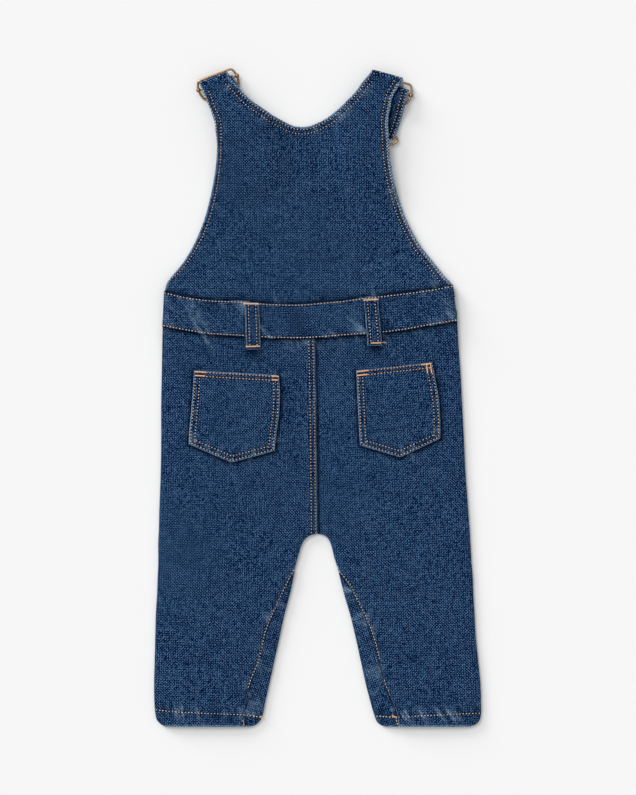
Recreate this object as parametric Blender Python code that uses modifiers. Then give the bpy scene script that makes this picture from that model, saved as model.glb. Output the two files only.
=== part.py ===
"""Kids' dungarees laid flat with the back up, each cut piece and each fitting its own solid.

The garment lies on the plane Z = 0 with its length along Y: hems at -Y, shoulders at +Y, and the
wearer's left side at -X, because the back faces up.  The front pieces lie on the plane, the back
pieces lie on them with a small hollow between, and the waistband, belt loops and pockets lie on
the back pieces.  Each strap is folded over at the shoulder and runs down under the back, through
its slider and round its clip, whose loop holds the button of the front bib.

Every piece of cloth is an open surface, lofted through a few sections and given its wall by
Solidify.  Heights come from a few functions of the place, so pieces that lie on each other
follow the same rise and keep their gap.  All sizes in the tables are millimetres.
"""
import math

import bmesh
import bpy
import numpy as np
from mathutils import Euler, Vector

MM = 0.001

# ---------------------------------------------------------------- driving dimensions (mm)
WALL = 1.4                # denim with its turnings pressed flat
GAP = 0.3                 # clearance left at every seam and between layers
SLACK = 0.5               # least hollow between the front and the back
CROWN = 1.4               # further hollow in the middle of each leg
WIRE = 0.9                # radius of the slider's and the clip's wire
SLIDER_HALF = 14.9        # half of the slider's width, wire centre to wire centre
SLIDER_BOW = 1.5          # how far its sides bow outwards
SLIDER_LENGTH = 17.2      # top bar to bottom bar
SLIDER_CORNER = 2.5       # radius of its corners
KNUCKLE_RADIUS = 1.8      # rolled ends of the slider's middle bar
KNUCKLE_LENGTH = 2.8
CLIP_DROP = 22.0          # clip's top bar to the button's shank
CLIP_HALF = 12.6          # half of the clip's top bar
BUTTON_RADIUS = 7.25
BUTTON_CAP = 1.3
BUTTON_BEVEL = (0.7, 0.5)  # how far in and how high the cap's lower edge is bevelled
SHANK_RADIUS = 2.4

BAND_RISE = WALL + GAP    # the front panels climb on to the front waistband
CLIP_RISE = 4.1           # the front bib climbs over the button's cap and the clip
STRAP_RISE = 5.4          # the back climbs over the strap, its fold and the slider
# How far each rise keeps its full height, and how far away it ends
BAND_SLOPE = (19.0, 52.0)
CLIP_SLOPE = (15.0, 50.0)
STRAP_SLOPE = (17.0, 55.0)
STRAP_RISE_FROM = (0.0, 4.0)      # along and across, in the strap's frame
STRAP_RISE_TO = (32.0, 6.0)
# Middle and half width of a leg, for its hollow: at the crotch, and at the hem
LEG_AT_CROTCH = (65.0, 65.0)
LEG_AT_HEM = (94.0, 46.0)
CROWN_FADE = (-10.0, 45.0)        # the crown is full below the first and ends at the second

# ---------------------------------------------------------------- sections of the cut pieces
# Waistband, one row per section from the left end to the right end.
# columns: top_x, top_y, bottom_x, bottom_y
BAND = np.array([
    (-130.5, 90.5, -132.0, 60.0),
    (-111.0, 86.0, -111.0, 56.0),
    (-90.5, 83.5, -90.0, 53.0),
    (-66.0, 82.5, -65.0, 51.5),
    (-42.0, 80.5, -41.0, 50.0),
    (-15.0, 80.0, -15.0, 49.5),
    (4.0, 81.5, 4.5, 50.5),
    (21.0, 83.0, 23.0, 52.0),
    (38.5, 85.5, 42.0, 53.5),
    (57.5, 87.5, 61.0, 55.0),
    (78.5, 90.0, 81.5, 58.0),
    (96.5, 92.5, 100.0, 61.5),
    (115.0, 96.0, 119.0, 64.5),
])

# Back bib below the neckline, from the waistband up.
# columns: left_x, left_y, centre_x, centre_y, right_x, right_y
BACK_BIB = np.array([
    (-130.5, 80.5, -9.0, 69.5, 117.0, 85.5),
    (-129.5, 92.0, -9.0, 80.5, 114.0, 96.5),
    (-126.0, 100.5, -9.5, 92.0, 107.5, 103.5),
    (-114.5, 114.5, -10.0, 108.5, 97.0, 117.0),
    (-104.5, 131.5, -10.5, 127.0, 86.5, 130.5),
    (-96.5, 151.0, -11.0, 148.5, 75.5, 151.0),
    (-91.5, 169.5, -11.5, 168.5, 69.0, 169.5),
    (-88.0, 186.5, -11.5, 186.5, 64.5, 186.5),
    (-86.0, 202.0, -12.0, 202.0, 62.0, 202.0),
    (-85.5, 214.5, -12.5, 215.0, 61.0, 214.5),
    (-86.5, 225.0, -13.0, 230.0, 60.5, 225.0),
])

# Back bib beside the neckline, from the neckline's lowest point up to each shoulder.
# columns: armhole_x, armhole_y, neck_x, neck_y
LEFT_SHOULDER = np.array([
    (-86.5, 225.0, -13.0, 230.0),
    (-87.0, 229.5, -21.0, 231.2),
    (-87.5, 234.0, -30.0, 235.5),
    (-89.0, 238.5, -39.0, 240.5),
    (-90.5, 243.0, -47.5, 246.5),
    (-92.5, 248.0, -55.5, 252.0),
    (-94.0, 252.0, -61.5, 257.5),
    (-95.9, 256.5, -66.5, 263.0),
    (-97.8, 260.5, -71.5, 268.0),
    (-98.9, 264.0, -75.5, 272.3),
])
RIGHT_SHOULDER = np.array([
    (60.5, 225.0, -13.0, 230.0),
    (60.0, 230.0, -5.5, 231.2),
    (60.0, 234.5, 4.0, 235.5),
    (60.5, 239.5, 12.0, 240.5),
    (61.5, 244.0, 19.0, 246.5),
    (62.5, 249.0, 24.5, 252.0),
    (63.5, 254.5, 29.5, 257.0),
    (66.0, 259.5, 34.0, 262.0),
    (69.0, 264.5, 38.0, 268.0),
    (70.7, 267.4, 44.1, 274.8),
])

# Front bib, from the waistband up.  columns: left_x, left_y, centre_x, centre_y, right_x, right_y
FRONT_BIB = np.array([
    (-130.5, 80.5, -9.0, 69.5, 117.0, 85.5),
    (-129.0, 92.0, -9.0, 80.5, 113.5, 96.5),
    (-124.5, 100.5, -9.5, 92.0, 107.0, 103.5),
    (-113.5, 114.5, -10.0, 108.5, 96.5, 117.0),
    (-103.5, 131.5, -10.5, 127.0, 86.5, 130.5),
    (-95.5, 151.0, -11.0, 148.5, 75.0, 151.0),
    (-90.0, 169.5, -11.5, 168.5, 68.5, 169.5),
    (-85.5, 186.5, -11.5, 186.5, 63.5, 186.5),
    (-81.0, 202.0, -11.5, 202.0, 58.5, 202.0),
    (-77.0, 212.0, -11.5, 212.0, 55.0, 212.0),
    (-72.0, 215.0, -11.5, 215.0, 50.0, 215.0),
])

# Legs.  The first table of each goes from the waistband down to the crotch, and the second from
# the crotch to the hem.  The seam is the edge of the back piece, and the turn is the leg's inner
# side, where the front piece rolls up on to the back.
# columns: side_x, side_y, seam_x, seam_y
LEFT_HIP = np.array([
    (-131.5, 69.5, -4.0, 59.0),
    (-132.0, 47.0, -2.8, 44.0),
    (-132.5, 21.5, -2.2, 19.0),
    (-133.0, -6.5, -1.7, -9.0),
    (-133.0, -36.0, -1.3, -37.0),
    (-133.5, -66.0, -1.0, -66.0),
    (-134.5, -93.0, -0.7, -94.0),
    (-135.0, -113.5, -0.5, -116.0),
])
RIGHT_HIP = np.array([
    (118.5, 74.5, -3.6, 59.0),
    (119.5, 50.5, -2.4, 44.0),
    (121.5, 22.5, -1.8, 19.0),
    (123.0, -6.5, -1.3, -9.0),
    (124.5, -36.0, -0.9, -37.0),
    (126.0, -66.0, -0.6, -66.0),
    (128.0, -93.0, -0.3, -94.0),
    (129.5, -113.5, -0.1, -116.0),
])
# columns: side_x, side_y, seam_x, seam_y, turn_x, turn_y
LEFT_LEG = np.array([
    (-135.0, -113.5, -0.5, -116.0, -0.5, -116.0),
    (-135.5, -123.5, -7.5, -118.0, -7.5, -118.0),
    (-135.5, -132.0, -13.0, -124.5, -13.0, -124.5),
    (-135.5, -141.5, -16.5, -135.5, -16.5, -135.5),
    (-136.0, -152.5, -20.5, -147.0, -19.3, -147.0),
    (-136.5, -167.0, -30.0, -165.5, -23.0, -165.5),
    (-137.5, -184.0, -38.5, -184.0, -28.0, -184.0),
    (-138.0, -202.5, -45.5, -202.5, -32.0, -202.5),
    (-138.5, -223.0, -50.5, -223.0, -36.5, -223.0),
    (-139.0, -243.5, -57.5, -243.5, -41.0, -243.5),
    (-138.8, -259.0, -61.0, -259.0, -44.5, -259.0),
    (-138.0, -269.0, -62.0, -269.5, -46.5, -269.5),
    (-136.5, -274.5, -62.3, -275.0, -49.0, -275.0),
    (-133.0, -278.0, -62.4, -278.3, -52.5, -278.3),
    (-129.0, -280.0, -62.5, -280.0, -57.5, -280.0),
])
RIGHT_LEG = np.array([
    (129.5, -113.5, -0.1, -116.0, -0.1, -116.0),
    (130.0, -123.5, 7.0, -118.0, 7.0, -118.0),
    (130.5, -132.0, 11.5, -125.5, 11.5, -125.5),
    (131.0, -141.5, 14.5, -137.5, 14.5, -137.5),
    (132.0, -152.5, 19.5, -149.0, 18.0, -149.0),
    (132.5, -167.0, 31.5, -167.0, 22.5, -167.0),
    (133.5, -184.0, 40.0, -184.0, 27.5, -184.0),
    (134.5, -202.5, 47.5, -202.5, 32.0, -202.5),
    (136.5, -223.0, 53.0, -223.0, 36.5, -223.0),
    (138.5, -243.5, 57.5, -243.5, 41.0, -243.5),
    (139.0, -259.0, 64.0, -259.0, 45.0, -259.0),
    (139.0, -269.0, 68.0, -269.5, 48.0, -269.5),
    (137.8, -274.5, 68.5, -275.0, 50.0, -275.0),
    (134.5, -278.0, 68.8, -278.3, 53.5, -278.3),
    (129.5, -280.0, 69.0, -280.0, 58.0, -280.0),
])
STRIP_START = 4           # the row of the leg tables where the turned strip begins

# Patch pockets, from the mouth down.  point is how far the middle of a row hangs below its ends.
# columns: left_x, left_y, right_x, right_y, point
LEFT_POCKET = np.array([
    (-105.0, 23.0, -32.8, 19.0, 0.0),
    (-106.1, 4.5, -31.9, 4.0, 2.5),
    (-107.7, -15.0, -32.5, -12.5, 6.0),
    (-108.9, -27.5, -34.6, -28.5, 9.5),
    (-109.5, -39.6, -36.6, -45.5, 12.8),
])
RIGHT_POCKET = np.array([
    (32.8, 23.0, 97.5, 30.0, 0.5),
    (33.6, 6.5, 101.0, 11.5, 2.5),
    (34.5, -10.0, 103.4, -4.5, 6.0),
    (35.1, -24.0, 104.3, -19.0, 9.5),
    (36.1, -40.7, 104.3, -35.0, 13.0),
])

# Belt loops, from the waistband's top edge down on to the leg.  on_band is 1 where the loop lies
# on the band and 0 where it lies on the leg.  columns: x, y, on_band
LOOP_HALF = 6.1
LEFT_LOOP = np.array([
    (-55.8, 80.5, 1.0),
    (-55.4, 70.0, 1.0),
    (-55.0, 59.0, 1.0),
    (-54.8, 52.0, 1.0),
    (-54.6, 48.6, 1.0),
    (-54.4, 45.6, 0.35),
    (-54.3, 40.8, 0.0),
])
RIGHT_LOOP = np.array([
    (45.3, 84.3, 1.0),
    (46.2, 74.0, 1.0),
    (47.2, 63.0, 1.0),
    (47.9, 55.5, 1.0),
    (48.1, 52.2, 1.0),
    (48.3, 49.2, 0.35),
    (48.6, 44.0, 0.0),
])

# ---------------------------------------------------------------- straps and their fittings
# Each strap has a frame of its own: its origin is the middle of the shoulder fold, and its
# across direction is turned by the angle from +X.  along runs down the strap.
LEFT_FOLD = {"x": -88.0, "y": 271.0, "turn": math.radians(20.5)}
RIGHT_FOLD = {"x": 59.0, "y": 274.5, "turn": math.radians(-15.5)}

# The strap's path, from the shoulder fold under the back, over the slider's bottom bar, round the
# clip's top bar and back up to the slider's middle bar.
# columns: along, across, height of the wall's middle, half width
LEFT_STRAP = np.array([
    (2.7, -0.2, 8.3, 12.4),
    (0.6, 0.1, 7.9, 12.2),
    (-0.4, 0.4, 6.0, 12.1),
    (0.2, 1.1, 3.5, 12.0),
    (1.9, 1.8, 1.6, 11.8),
    (4.6, 2.4, 0.95, 12.0),
    (7.8, 2.8, 0.9, 12.0),
    (11.2, 3.2, 1.9, 11.8),
    (14.5, 3.4, 3.5, 11.6),
    (18.2, 3.8, 2.3, 12.0),
    (22.5, 4.1, 0.95, 12.3),
    (30.0, 4.1, 0.75, 12.3),
    (40.0, 4.0, 0.75, 12.3),
    (47.5, 3.6, 0.8, 11.3),
    (50.5, 3.4, 0.8, 11.3),
    (52.5, 3.4, 2.7, 11.3),
    (50.5, 3.5, 4.6, 11.3),
    (45.0, 3.9, 3.6, 12.3),
    (38.0, 4.2, 2.8, 12.3),
    (30.0, 4.5, 2.8, 12.3),
    (22.5, 4.9, 3.9, 12.3),
    (17.0, 5.2, 5.2, 12.3),
    (12.0, 5.3, 5.8, 12.3),
    (8.0, 4.9, 5.9, 12.1),
    (5.3, 4.4, 5.6, 11.9),
    (3.5, 4.2, 5.0, 11.8),
    (2.8, 4.2, 3.7, 11.8),
])
RIGHT_STRAP = np.array([
    (3.2, -0.5, 8.3, 13.8),
    (0.7, -0.1, 8.0, 13.5),
    (-0.5, 0.6, 6.8, 13.0),
    (0.5, 2.1, 5.4, 12.2),
    (2.9, 4.5, 4.9, 11.4),
    (5.0, 4.8, 3.8, 11.4),
    (7.0, 5.0, 1.9, 11.4),
    (9.0, 5.2, 1.1, 11.5),
    (11.5, 5.4, 0.95, 11.6),
    (14.5, 5.8, 1.7, 11.8),
    (17.4, 6.2, 3.7, 12.0),
    (20.1, 6.5, 4.9, 12.2),
    (23.0, 6.9, 3.9, 12.3),
    (26.5, 7.3, 1.6, 12.3),
    (30.0, 7.8, 0.85, 12.3),
    (37.0, 8.4, 0.75, 12.3),
    (46.0, 9.0, 0.8, 12.3),
    (49.3, 9.3, 0.8, 11.3),
    (51.3, 9.3, 2.7, 11.3),
    (49.3, 9.2, 4.6, 11.3),
    (44.5, 9.2, 3.7, 12.3),
    (38.0, 9.5, 2.8, 12.3),
    (32.5, 9.8, 3.0, 12.3),
    (28.0, 9.8, 4.3, 12.3),
    (24.0, 9.7, 5.9, 12.3),
    (20.0, 9.6, 6.7, 12.3),
    (16.0, 9.6, 6.1, 12.3),
    (12.5, 9.6, 5.3, 12.3),
    (10.2, 9.6, 5.3, 12.3),
    (8.3, 9.6, 4.7, 12.3),
    (8.0, 9.6, 3.8, 12.3),
    (9.1, 9.6, 3.1, 12.3),
])

# Fittings in the same frames: where the slider's top bar lies, how far below it the middle bar
# sits, how steeply the slider leans, and where the clip's top bar lies.
LEFT_FITTINGS = {"slider_along": -2.5, "slider_across": 2.3, "slider_height": 5.0,
                 "slider_lean": math.radians(11.5), "middle_bar": 7.3,
                 "clip_along": 50.2, "clip_across": 3.5}
RIGHT_FITTINGS = {"slider_along": 2.8, "slider_across": 6.9, "slider_height": 2.9,
                  "slider_lean": 0.0, "middle_bar": 8.6,
                  "clip_along": 49.0, "clip_across": 9.4}
CLIP_HEIGHT = 2.7


# ---------------------------------------------------------------- smooth sections
def smooth(rows, steps):
    """Rows with steps rows for each interval, on a Catmull-Rom curve through the given rows."""
    padded = np.vstack([2 * rows[0] - rows[1], rows, 2 * rows[-1] - rows[-2]])
    before, here, there, after = padded[:-3], padded[1:-2], padded[2:-1], padded[3:]
    t = (np.arange(steps) / steps)[None, :, None]
    before, here, there, after = (row[:, None, :] for row in (before, here, there, after))
    curve = 0.5 * (2 * here + (there - before) * t
                   + (2 * before - 5 * here + 4 * there - after) * t ** 2
                   + (3 * here - before - 3 * there + after) * t ** 3)
    return np.vstack([curve.reshape(-1, rows.shape[1]), rows[-1]])


def fade(distance, inner, outer):
    """1 up to the inner distance and 0 from the outer one, with a smooth slope between."""
    t = np.clip((outer - distance) / (outer - inner), 0.0, 1.0)
    return t * t * t * (t * (6 * t - 15) + 10)


def distance_to_segment(x, y, start, end):
    """Distance in plan from each place to the straight line between two places."""
    run = np.subtract(end, start)
    along = ((x - start[0]) * run[0] + (y - start[1]) * run[1]) / run.dot(run)
    along = np.clip(along, 0.0, 1.0)
    return np.hypot(x - start[0] - along * run[0], y - start[1] - along * run[1])


def fold_place(fold, along, across):
    """Place in plan of a point given in a strap's own frame."""
    x = fold["x"] + across * np.cos(fold["turn"]) + along * np.sin(fold["turn"])
    y = fold["y"] + across * np.sin(fold["turn"]) - along * np.cos(fold["turn"])
    return x, y


# ---------------------------------------------------------------- heights of the layers
def waist_rise(x, y):
    """Rise of the front panels on to the front waistband."""
    middle = np.interp(x, BAND[:, 0], (BAND[:, 1] + BAND[:, 3]) / 2)
    return BAND_RISE * fade(np.abs(y - middle), *BAND_SLOPE)


def clip_rise(x, y):
    """Rise of the front bib over the two clips and buttons."""
    rise = 0.0
    for fold, fittings in ((LEFT_FOLD, LEFT_FITTINGS), (RIGHT_FOLD, RIGHT_FITTINGS)):
        top = fold_place(fold, fittings["clip_along"], fittings["clip_across"])
        button = fold_place(fold, fittings["clip_along"] + CLIP_DROP, fittings["clip_across"])
        rise = rise + CLIP_RISE * fade(distance_to_segment(x, y, top, button), *CLIP_SLOPE)
    return rise


def strap_rise(x, y):
    """Rise of the back over the shoulder folds, the straps and the sliders."""
    rise = 0.0
    for fold in (LEFT_FOLD, RIGHT_FOLD):
        start = fold_place(fold, *STRAP_RISE_FROM)
        end = fold_place(fold, *STRAP_RISE_TO)
        rise = rise + STRAP_RISE * fade(distance_to_segment(x, y, start, end), *STRAP_SLOPE)
    return rise


def hollow(x, y):
    """Hollow between front and back: a little everywhere, and a crown along each leg."""
    crotch, hem = LEFT_HIP[-1, 3], LEFT_LEG[-1, 1]
    down = np.clip((y - crotch) / (hem - crotch), 0.0, 1.0)
    middle = LEG_AT_CROTCH[0] + (LEG_AT_HEM[0] - LEG_AT_CROTCH[0]) * down
    half = LEG_AT_CROTCH[1] + (LEG_AT_HEM[1] - LEG_AT_CROTCH[1]) * down
    across = np.clip((np.abs(x) - middle) / half, -1.0, 1.0)
    below_waist = fade(y, *CROWN_FADE)
    return SLACK + CROWN * (1.0 - across ** 2) * below_waist


def front_floor(x, y):
    """Underside of the front bib and the front legs."""
    return waist_rise(x, y) + clip_rise(x, y)


def back_floor(x, y):
    """Underside of the back bib and the back legs."""
    over_fittings = (clip_rise(x, y) ** 4 + strap_rise(x, y) ** 4) ** 0.25
    return waist_rise(x, y) + over_fittings + WALL + GAP + hollow(x, y)


def on_back(x, y):
    """Underside of what is sewn on to the back pieces."""
    return back_floor(x, y) + WALL + GAP


def flat_floor(x, y):
    """The plane that the garment lies on."""
    return np.zeros_like(x)


def strip_floor(x, y):
    """Underside of the front legs' turned strips, which lie on the front legs."""
    return front_floor(x, y) + WALL + GAP


# ---------------------------------------------------------------- making pieces
def make_material(name, colour, metallic, roughness):
    """A plain Principled material."""
    material = bpy.data.materials.new(name)
    material.use_nodes = True
    shader = material.node_tree.nodes["Principled BSDF"]
    shader.inputs["Base Color"].default_value = (*colour, 1.0)
    shader.inputs["Metallic"].default_value = metallic
    shader.inputs["Roughness"].default_value = roughness
    material.diffuse_color = (*colour, 1.0)
    return material


def add_object(name, data, material, collection):
    """Put a mesh or a curve into the collection under the piece's name."""
    data.materials.append(material)
    piece = bpy.data.objects.new(name, data)
    collection.objects.link(piece)
    return piece


def loft(left, right, columns, sag=None, height=None):
    """Grid of points on straight lines from left to right; sag drops each line's middle."""
    t = np.linspace(0.0, 1.0, columns + 1)[None, :, None]
    grid = left[:, None, :] + t * (right - left)[:, None, :]
    if sag is not None:
        grid[:, :, 1] -= sag[:, None] * (1.0 - np.abs(2.0 * t[0, :, 0] - 1.0))[None, :]
    if height is not None:
        heights = height(grid[:, :, 0], grid[:, :, 1])
        grid = np.dstack([grid, heights])
    return grid


def cloth(name, grids, material, collection, wall_side):
    """A wall of cloth on one or more grids of points, which join where they share points.

    wall_side is 1 for a wall that stands on the surface, and 0 for one with the surface in its
    middle.
    """
    shape = bmesh.new()
    for grid in grids:
        rows, columns = grid.shape[:2]
        points = [shape.verts.new(Vector(point) * MM) for point in grid.reshape(-1, 3)]
        for row in range(rows - 1):
            for column in range(columns - 1):
                first = row * columns + column
                corners = (first, first + columns, first + columns + 1, first + 1)
                shape.faces.new([points[corner] for corner in corners])
    bmesh.ops.remove_doubles(shape, verts=shape.verts, dist=0.01 * MM)
    bmesh.ops.recalc_face_normals(shape, faces=shape.faces)
    shape.normal_update()
    if wall_side and sum(face.normal.z for face in shape.faces) < 0.0:
        bmesh.ops.reverse_faces(shape, faces=shape.faces)
    data = bpy.data.meshes.new(name)
    shape.to_mesh(data)
    shape.free()
    data.shade_smooth()
    piece = add_object(name, data, material, collection)
    wall = piece.modifiers.new("Wall", "SOLIDIFY")
    wall.thickness = WALL * MM
    wall.offset = wall_side
    wall.use_even_offset = True
    return piece


def wire(name, points, closed, material, collection):
    """A round wire along the points."""
    data = bpy.data.curves.new(name, "CURVE")
    data.dimensions = "3D"
    data.bevel_depth = WIRE * MM
    data.bevel_resolution = 2
    data.use_fill_caps = True
    spline = data.splines.new("POLY")
    spline.points.add(len(points) - 1)
    for knot, point in zip(spline.points, points):
        knot.co = (*(Vector(point) * MM), 1.0)
    spline.use_cyclic_u = closed
    spline.use_smooth = True
    return add_object(name, data, material, collection)


def as_mesh(piece, collection):
    """The curve piece as a welded mesh object of the same name and place."""
    name = piece.name
    graph = bpy.context.evaluated_depsgraph_get()
    data = bpy.data.meshes.new_from_object(piece.evaluated_get(graph))
    shape = bmesh.new()
    shape.from_mesh(data)
    bmesh.ops.remove_doubles(shape, verts=shape.verts, dist=0.001 * MM)
    shape.to_mesh(data)
    shape.free()
    mesh_piece = bpy.data.objects.new(name + "_mesh", data)
    mesh_piece.matrix_world = piece.matrix_world
    collection.objects.link(mesh_piece)
    bpy.data.objects.remove(piece)
    mesh_piece.name = name
    return mesh_piece


def union(piece, other, cutters):
    """Join the other shape to the piece, and keep it only as a guide."""
    joined = piece.modifiers.new("Join " + other.name, "BOOLEAN")
    joined.operation = "UNION"
    joined.object = other
    for owner in list(other.users_collection):
        owner.objects.unlink(other)
    cutters.objects.link(other)
    other.hide_render = True
    other.display_type = "WIRE"


# ---------------------------------------------------------------- cloth pieces
def make_back_bib(material, collection):
    """Back bib with its two shoulders, up to the shoulder folds."""
    body = smooth(BACK_BIB, 2)
    left, centre, right = body[:, 0:2], body[:, 2:4], body[:, 4:6]
    grids = [loft(left, centre, 7, height=back_floor), loft(centre, right, 7, height=back_floor)]
    shoulder = smooth(LEFT_SHOULDER, 2)
    grids.append(loft(shoulder[:, 0:2], shoulder[:, 2:4], 7, height=back_floor))
    shoulder = smooth(RIGHT_SHOULDER, 2)
    grids.append(loft(shoulder[:, 2:4], shoulder[:, 0:2], 7, height=back_floor))
    cloth("back_bib", grids, material, collection, 1)


def make_front_bib(material, collection):
    """Front bib, which lies on the plane and on the two buttons."""
    body = smooth(FRONT_BIB, 2)
    left, centre, right = body[:, 0:2], body[:, 2:4], body[:, 4:6]
    grids = [loft(left, centre, 8, height=front_floor),
             loft(centre, right, 8, height=front_floor)]
    cloth("front_bib", grids, material, collection, 1)


def make_waistband(name, height, material, collection):
    """Waistband, lofted from end to end."""
    band = smooth(BAND, 1)
    grid = loft(band[:, 0:2], band[:, 2:4], 3, height=height)
    cloth(name, [grid], material, collection, 1)


def make_leg(side, hip, leg, material, collection):
    """Front leg, back leg, and the strip of the front leg that is turned on to the back."""
    hip_rows = smooth(hip, 2)
    leg_rows = smooth(leg, 1)
    outer = np.vstack([hip_rows[:, 0:2], leg_rows[1:, 0:2]])
    seam = np.vstack([hip_rows[:, 2:4], leg_rows[1:, 2:4]])
    turn = np.vstack([hip_rows[:, 2:4], leg_rows[1:, 4:6]])
    outward = -1.0 if side == "left" else 1.0
    columns = 8
    cloth("front_leg_" + side, [loft(outer, turn, columns, height=front_floor)],
          material, collection, 1)
    cloth("back_leg_" + side, [loft(outer, seam, columns, height=back_floor)],
          material, collection, 1)
    strip_seam = leg_rows[STRIP_START:, 2:4] - np.array([outward * GAP, 0.0])
    strip_turn = leg_rows[STRIP_START:, 4:6].copy()
    cloth("inseam_strip_" + side, [loft(strip_seam, strip_turn, 2, height=strip_floor)],
          material, collection, 1)


def make_pocket(side, pocket, material, collection):
    """Patch pocket, pointed at its lower edge, on the back leg."""
    rows = smooth(pocket, 2)
    grid = loft(rows[:, 0:2], rows[:, 2:4], 6, sag=rows[:, 4], height=on_back)
    cloth("back_pocket_" + side, [grid], material, collection, 1)


def make_belt_loop(side, rows, material, collection):
    """Belt loop on the waistband, with its foot on the leg."""
    rows = smooth(rows, 1)
    left = rows[:, 0:2] - np.array([LOOP_HALF, 0.0])
    right = rows[:, 0:2] + np.array([LOOP_HALF, 0.0])
    grid = loft(left, right, 2, height=on_back)
    grid[:, :, 2] += (WALL + GAP) * rows[:, 2][:, None]
    cloth("belt_loop_" + side, [grid], material, collection, 1)


def make_strap(side, fold, rows, material, collection):
    """Strap from the shoulder fold round the clip and back to the slider's middle bar."""
    rows = smooth(rows, 2)
    edges = []
    for across in (rows[:, 1] - rows[:, 3], rows[:, 1] + rows[:, 3]):
        x, y = fold_place(fold, rows[:, 0], across)
        edges.append(np.column_stack([x, y, rows[:, 2]]))
    cloth("strap_" + side, [loft(edges[0], edges[1], 2)], material, collection, 0)


# ---------------------------------------------------------------- fittings
def place_fitting(piece, fold, along, across, height, lean):
    """Turn a fitting made with +Y up the strap into the strap's frame."""
    x, y = fold_place(fold, along, across)
    piece.location = Vector((x, y, height)) * MM
    piece.rotation_euler = Euler((lean, 0.0, fold["turn"]), "XYZ")


def slider_outline():
    """Closed outline of the slider: straight bars, round corners and bowed sides."""
    corner = SLIDER_CORNER
    points = []
    for centre_x, centre_y, start in ((1, 0, 90), (1, -1, 0), (-1, -1, 270), (-1, 0, 180)):
        x = centre_x * (SLIDER_HALF - corner)
        y = centre_y * SLIDER_LENGTH + (-corner if centre_y == 0 else corner)
        for step in range(4):
            angle = math.radians(start - 30 * step)
            points.append((x + corner * math.cos(angle), y + corner * math.sin(angle), 0.0))
    bowed = []
    for x, y, z in points:
        bow = SLIDER_BOW * (1.0 - (2.0 * y / SLIDER_LENGTH + 1.0) ** 2)
        bowed.append((x + math.copysign(bow, x), y, z))
    middle = -SLIDER_LENGTH / 2
    side = SLIDER_HALF + SLIDER_BOW
    return bowed[:4] + [(side, middle, 0.0)] + bowed[4:12] + [(-side, middle, 0.0)] + bowed[12:]


def make_slider(side, fold, fittings, material, collection, cutters):
    """Slider: a bowed wire frame, its middle bar, and the bar's rolled ends on the sides."""
    name = "slider_" + side
    frame = as_mesh(wire(name, slider_outline(), True, material, collection), collection)
    drop = fittings["middle_bar"]
    bow = SLIDER_BOW * (1.0 - (2.0 * drop / SLIDER_LENGTH - 1.0) ** 2)
    reach = SLIDER_HALF + bow
    bar = wire(name + "_bar", [(-reach, -drop, 0.0), (reach, -drop, 0.0)], False,
               material, collection)
    bar = as_mesh(bar, collection)
    parts = [frame, bar]
    for end in (-1, 1):
        bpy.ops.mesh.primitive_cylinder_add(
            vertices=10, radius=KNUCKLE_RADIUS * MM, depth=KNUCKLE_LENGTH * MM,
            location=(end * reach * MM, -drop * MM, 0.0), rotation=(math.pi / 2, 0.1, 0.0))
        knuckle = bpy.context.object
        knuckle.name = name + ("_knuckle_a" if end < 0 else "_knuckle_b")
        union(bar, knuckle, cutters)
        parts.append(knuckle)
    union(frame, bar, cutters)
    place = bpy.data.objects.new(name + "_place", None)
    collection.objects.link(place)
    place_fitting(place, fold, fittings["slider_along"], fittings["slider_across"],
                  fittings["slider_height"], fittings["slider_lean"])
    for part in parts:
        part.parent = place


def clip_outline():
    """Closed outline of the clip: a wide top loop for the strap, narrowing round the shank."""
    shank_loop = SHANK_RADIUS + GAP + WIRE
    right = [(CLIP_HALF - 1.0, 0.0), (CLIP_HALF + 0.6, -0.7), (CLIP_HALF + 1.4, -2.4),
             (CLIP_HALF + 0.8, -4.6), (CLIP_HALF - 1.6, -6.6), (8.0, -8.2), (5.4, -10.4),
             (4.4, -14.0), (3.9, -18.0)]
    for step in range(5):
        angle = math.radians(-36.0 * step / 2)
        right.append((shank_loop * math.cos(angle), -CLIP_DROP + shank_loop * math.sin(angle)))
    right.append((0.0, -CLIP_DROP - shank_loop))
    left = [(-x, y) for x, y in reversed(right[:-1])]
    return [(x, y, 0.0) for x, y in right + left]


def make_clip(side, fold, fittings, material, collection):
    """Clip of bent wire, from the strap's lower fold to the button's shank."""
    clip = wire("clip_" + side, clip_outline(), True, material, collection)
    place_fitting(clip, fold, fittings["clip_along"], fittings["clip_across"], CLIP_HEIGHT, 0.0)


def make_button(side, fold, fittings, material, collection):
    """Bib button, turned: a domed cap on the plane and a shank up to the front bib."""
    top = CLIP_RISE - GAP
    profile = [(SHANK_RADIUS, top), (SHANK_RADIUS, BUTTON_CAP), (BUTTON_RADIUS, BUTTON_CAP),
               (BUTTON_RADIUS, BUTTON_BEVEL[1]), (BUTTON_RADIUS - BUTTON_BEVEL[0], 0.0)]
    points = [(0.0, top)] + profile + [(0.0, 0.0)]
    data = bpy.data.meshes.new("bib_button_" + side)
    data.from_pydata([(x * MM, 0.0, z * MM) for x, z in points],
                     [(i, i + 1) for i in range(len(points) - 1)], [])
    button = add_object("bib_button_" + side, data, material, collection)
    turn = button.modifiers.new("Turn", "SCREW")
    turn.steps = 24
    turn.render_steps = 24
    turn.use_merge_vertices = True
    turn.merge_threshold = 0.00001
    turn.use_smooth_shade = False
    place_fitting(button, fold, fittings["clip_along"] + CLIP_DROP, fittings["clip_across"],
                  0.0, 0.0)


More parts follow.
